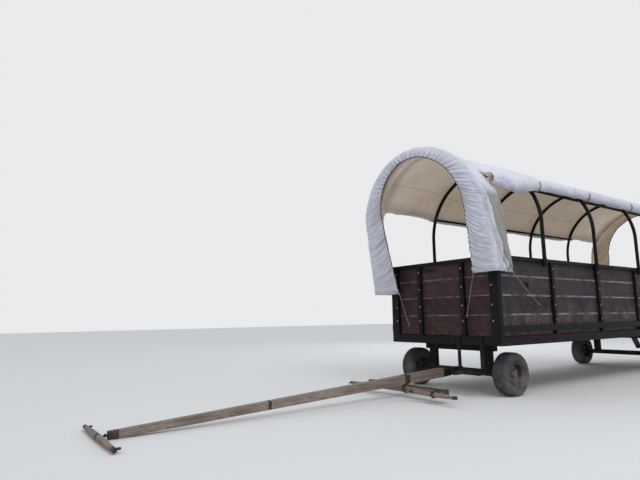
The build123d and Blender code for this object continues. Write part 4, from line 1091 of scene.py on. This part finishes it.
def finish_piece(piece, body, material):
    select_only(piece)
    bpy.ops.object.transform_apply(location=True, rotation=True, scale=True)
    bpy.ops.object.shade_smooth_by_angle(angle=math.radians(35))
    piece.select_set(False)
    piece.data.materials.clear()
    piece.data.materials.append(material)
    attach(piece, body)


def facing(place, outward):
    return Matrix.Translation(place) @ Vector(outward).to_track_quat("Z", "Y").to_matrix().to_4x4()


def joined_copies(name, model, placings, body, material):
    bpy.ops.object.select_all(action="DESELECT")
    for placing in placings:
        part = model.copy()
        part.data = model.data.copy()
        part.data.transform(placing)
        bpy.context.collection.objects.link(part)
        part.select_set(True)
    bpy.context.view_layer.objects.active = part
    if len(placings) > 1:
        bpy.ops.object.join()
    part.name = name
    finish_piece(part, body, material)
    return part


black_iron_and_slot_shade, angle_grey, plated = [
    painted_steel(name, paint, bare, wear, road_dust, reach) for name, paint, bare, wear, reach in (
        # near black: real black iron for the bracket, painted shade for the hand slot
        ("black_iron_and_slot_shade", (0.0025, 0.0025, 0.003, 1), (0.02, 0.016, 0.014, 1), 0.0, 0.01),
        ("angle_grey", (0.045, 0.045, 0.050, 1), (0.10, 0.085, 0.075, 1), 0.05, 0.6),
        ("plated_steel", (0.26, 0.26, 0.275, 1), (0.12, 0.10, 0.085, 1), 0.08, 0.6),
    )
]

bolt_head = start_rod("bolt_head", 14, 0.0105, 0.004, 0.001)
inset((0.0030, 0.0022), (0.0035, 0.0009))
bpy.ops.object.mode_set(mode="OBJECT")
bolt_levels = (0.905, 1.100, 1.337, 1.575)
bay_length = 1.22
bolt_lines = [
    ((front_face + bay_length * bay, side * side_face), (0, side, 0))
    for side in (-1, 1) for bay in (1, 2, 3, 4)
]
bolt_lines += [((front_face, y), (-1, 0, 0)) for y in (-0.815, -0.366, 0.366, 0.815)]
bolt_lines += [((rear_face, y), (1, 0, 0)) for y in (-0.815, -0.380, 0.380, 0.815)]
plank_bolts = [facing((*line, level), outward) for line, outward in bolt_lines for level in bolt_levels]
joined_copies("plank_bolts", bolt_head, plank_bolts, "wagon", plated)

plank_side = 0.8755
bolt_side = 0.878
angle_ahead = 0.097
angle_middle = 1.255
slot_ahead = 0.650
slot_level = 1.348
for side, side_name in ((-1, "left"), (1, "right")):
    middle = (front_face + angle_ahead, side * plank_side, angle_middle)
    angle = start_box(f"corner_angle_{side_name}", middle, (0.062, 0.005, 0.44))
    pick_faces(angle, lambda face: face.normal.x < -0.5)
    inset((0.0005, 0.0))
    bevel_all(0.0012)
    finish_piece(angle, "wagon", angle_grey)
    angle_bolts = [
        facing((front_face + angle_ahead, side * bolt_side, level), (0, side, 0))
        for level in (1.08, angle_middle, 1.43)
    ]
    joined_copies(f"corner_angle_bolts_{side_name}", bolt_head, angle_bolts, "wagon", plated)
    middle = (front_face + slot_ahead, side * plank_side, slot_level)
    slot_frame = start_box(f"hand_slot_{side_name}", middle, (0.085, 0.006, 0.078))
    pick_faces(slot_frame, lambda face: side * face.normal.y > 0.5)
    inset((0.009, 0.0), (0.0015, -0.005))
    bpy.ops.object.mode_set(mode="OBJECT")
    # the slot frame and its recess are near black as painted shade in the hand slot
    finish_piece(slot_frame, "wagon", black_iron_and_slot_shade)

bracket_level = 1.590
bracket = start_box("front_bracket", (front_face + 0.039, 0.215, bracket_level), (0.006, 0.22, 0.034))
pick_faces(bracket, lambda face: face.normal.y > 0.5)
for stretch in ((0, 0.034, -0.010), (0, 0.006, -0.052)):
    bpy.ops.mesh.extrude_region_move(TRANSFORM_OT_translate={"value": stretch})
bevel_all(0.0016)
finish_piece(bracket, "wagon", black_iron_and_slot_shade)
bracket_bolts = [facing((front_face + 0.036, y, bracket_level), (-1, 0, 0)) for y in (0.135, 0.275)]
joined_copies("front_bracket_bolts", bolt_head, bracket_bolts, "wagon", forged_iron)
bpy.data.objects.remove(bolt_head)


# Tyres
# Small pneumatic road tyres of black rubber, greyed by dust. Four grooves run round the tread, short slots
# cut both shoulders into blocks, and the sidewalls carry two plain moulded ribs.
tyre_steps = 144
steps_per_block = 4
shoulder_inner, shoulder_outer = 0.0625, 0.0930
shoulder_reach = 0.235
tyre_half = [
    (0.0000, 0.2600), (0.0125, 0.2600), (0.0140, 0.2540), (0.0200, 0.2540), (0.0215, 0.2599),
    (0.0385, 0.2597), (0.0400, 0.2537), (0.0460, 0.2536), (0.0475, 0.2595), (0.0620, 0.2588),
    (0.0760, 0.2548), (0.0875, 0.2470), (0.0930, 0.2370), (0.0952, 0.2315), (0.0975, 0.2300),
    (0.0975, 0.2280), (0.0962, 0.2265), (0.0990, 0.2130), (0.1000, 0.2000), (0.0988, 0.1860),
    (0.0962, 0.1740), (0.0972, 0.1725), (0.0965, 0.1705), (0.0940, 0.1690), (0.0885, 0.1540),
    (0.0790, 0.1470), (0.0754, 0.1310),
]
tyre_profile = [(-aside, reach) for aside, reach in tyre_half[:0:-1]] + tyre_half

rubber, rubber_tree, rubber_shader = new_material("tyre_rubber")
rubber_place = object_place(rubber_tree)
rubber_patch = noise(rubber_tree, rubber_place, 9.0, 6.0, 0.65)
rubber_pores = noise(rubber_tree, rubber_place, 320.0, 3.0, 0.6)
rubber_dust = ramp(rubber_tree, rubber_patch, 0.34, 0.74, 0.06, 0.55)
rubber_grey = mix_colour(rubber_tree, rubber_dust, (0.026, 0.026, 0.030, 1), (0.125, 0.122, 0.130, 1))
tread_dust = (0.20, 0.185, 0.175, 1)
rubber_dirt = use_group(rubber_tree, dust_group, Colour=rubber_grey, Dust=tread_dust, Reach=0.45)
set_inputs(rubber_tree, rubber_shader, {
    "Base Color": rubber_dirt["Colour"], "Roughness": ramp(rubber_tree, rubber_patch, 0.3, 0.7, 0.66, 0.92),
    "Specular IOR Level": 0.35,
})
bump(rubber_tree, rubber_shader, rubber_pores, 0.35, 0.0006)

bpy.ops.mesh.primitive_circle_add(vertices=len(tyre_profile), radius=0.1)
tyre_model = bpy.context.object
for vertex, (aside, reach) in zip(tyre_model.data.vertices, tyre_profile):
    vertex.co = (0.0, aside, reach)
bpy.ops.object.mode_set(mode="EDIT")
bpy.ops.mesh.select_all(action="SELECT")
bpy.ops.mesh.spin(steps=tyre_steps, angle=math.tau, center=(0, 0, 0), axis=(0, 1, 0))
bpy.ops.mesh.select_all(action="SELECT")
bpy.ops.mesh.remove_doubles(threshold=0.00005)
bpy.ops.mesh.normals_make_consistent(inside=False)
bpy.ops.object.mode_set(mode="OBJECT")


def in_shoulder_slot(face):
    aside, reach = abs(face.center.y), math.hypot(face.center.x, face.center.z)
    step = int(math.atan2(face.center.z, face.center.x) / math.tau * tyre_steps + tyre_steps)
    in_turn = step % steps_per_block == (0 if face.center.y > 0 else steps_per_block // 2)
    return shoulder_inner < aside < shoulder_outer and reach > shoulder_reach and in_turn


pick_faces(tyre_model, in_shoulder_slot)
inset((0.0012, -0.0055))
bpy.ops.object.mode_set(mode="OBJECT")
wheel_names = ("front_left", "front_right", "rear_left", "rear_right")
wheel_middles = {}
for name in wheel_names:
    low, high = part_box(f"tyre_{name}")
    wheel_middles[name] = (Vector(low) + Vector(high)) / 2
    place = Matrix.Translation(wheel_middles[name])
    tyre = joined_copies(f"treaded_tyre_{name}", tyre_model, [place], f"wheel_{name}", rubber)
    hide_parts(f"tyre_{name}")
bpy.data.objects.remove(tyre_model)


# Rims, wheel nuts and valves
# Pressed steel disc wheels in dark grey paint. Five plated nuts hold each disc to its hub, and a rubber valve
# stands in the disc near the rim.
rim_paint = painted_steel(
    "rim_paint", (0.040, 0.040, 0.044, 1), (0.15, 0.10, 0.075, 1), 0.09, road_dust, 0.6
)
dress(rim_paint, *[f"rim_{name}" for name in wheel_names])
wheel_nut = start_rod("wheel_nut", 6, 0.0125, 0.014, 0.007)
inset((0.0018, 0.0018), (0.0028, 0.0), (0.0004, 0.0045))
bpy.ops.object.mode_set(mode="OBJECT")
valve = start_rod("valve", 14, 0.0055, 0.022, 0.011)
inset((0.0014, 0.004))
bpy.ops.mesh.extrude_region_move(TRANSFORM_OT_translate={"value": (0, 0, 0.009)})
inset((0.0008, 0.0008))
bpy.ops.object.mode_set(mode="OBJECT")
nut_count = 5
nut_circle = 0.074
nut_seat = 0.028
valve_circle = 0.104
valve_seat = 0.0275
for name in wheel_names:
    outward = -1 if name.endswith("left") else 1
    body = f"wheel_{name}"

    def on_disc(x, aside, z):
        return facing(wheel_middles[name] + Vector((x, outward * aside, z)), (0, outward, 0))

    turns = [math.tau * (number + 0.25) / nut_count for number in range(nut_count)]
    nut_places = [
        on_disc(nut_circle * math.cos(turn), nut_seat, nut_circle * math.sin(turn)) for turn in turns
    ]
    joined_copies(f"wheel_nuts_{name}", wheel_nut, nut_places, body, plated)
    valve_place = on_disc(0.0, valve_seat, valve_circle)
    joined_copies(f"valve_{name}", valve, [valve_place], body, rubber)
bpy.data.objects.remove(valve)


# Pole, evener, singletrees and neck yoke
# Weathered grey-brown hardwood. The pole tapers to its iron tip, and iron bands, clevises, ferrules and hooks
# are fitted hot or bolted on; they have a dark forge scale with rust at the edges.
#
# iron_at gives the irons' places: axis, whether both sides of the middle have one, and its two ends
def ironed_wood(name, order, worn_share, iron_at):
    material = planked(name, order, "Y", -3.0, 6.0, pole_brown, pole_grey, worn_share, 0.001)
    tree = material.node_tree
    shader = tree.nodes["Principled BSDF"]
    axes = axes_of(tree, object_place(tree))
    mask = 0.0
    for axis, mirrored, low, high in iron_at:
        value = math_node(tree, "ABSOLUTE", axes[axis]) if mirrored else axes[axis]
        above = math_node(tree, "GREATER_THAN", value, low)
        inside = times(tree, above, math_node(tree, "LESS_THAN", value, high))
        mask = math_node(tree, "MAXIMUM", mask, inside)
    coat = use_group(
        tree, paint_group, Paint=(0.035, 0.031, 0.030, 1), Bare=(0.14, 0.085, 0.055, 1), Wear=0.14
    )
    wood = shader.inputs["Base Color"].links[0].from_socket
    set_inputs(tree, shader, {"Base Color": mix_colour(tree, mask, wood, coat["Colour"])})
    return material


pole_grey = (0.38, 0.325, 0.285, 1)
pole_brown = (0.200, 0.155, 0.128, 1)
dress(ironed_wood("pole_wood", "XYZ", 1.0, [
    ("X", False, -5.40, -5.225), ("X", False, -3.80, -3.765), ("X", False, -1.905, -1.817),
    ("X", False, -1.215, -1.0),
]), "pole")
dress(ironed_wood("evener_wood", "YXZ", 1.0, [
    ("X", False, -2.10, -1.8928), ("Y", True, 0.640, 0.70), ("Y", True, 0.0, 0.028),
]), "evener")
dress(ironed_wood("singletree_wood", "YXZ", 0.9, [
    ("X", False, -2.10, -2.0160), ("Y", True, 0.0, 0.262), ("Y", True, 0.858, 0.95),
    ("Y", True, 0.536, 0.584),
]), "singletree_left", "singletree_right")
dress(ironed_wood("yoke_wood", "YXZ", 0.9, [
    ("X", False, -5.3520, -5.30), ("Y", True, 0.478, 0.60), ("Y", True, 0.0, 0.030),
]), "neck_yoke")
pole_slope = math.radians(3)
evener_nut = facing((-1.861, 0.0, 0.159), (-math.sin(pole_slope), 0.0, math.cos(pole_slope)))
joined_copies("evener_nut", wheel_nut, [evener_nut], "evener", forged_iron)
bpy.data.objects.remove(wheel_nut)
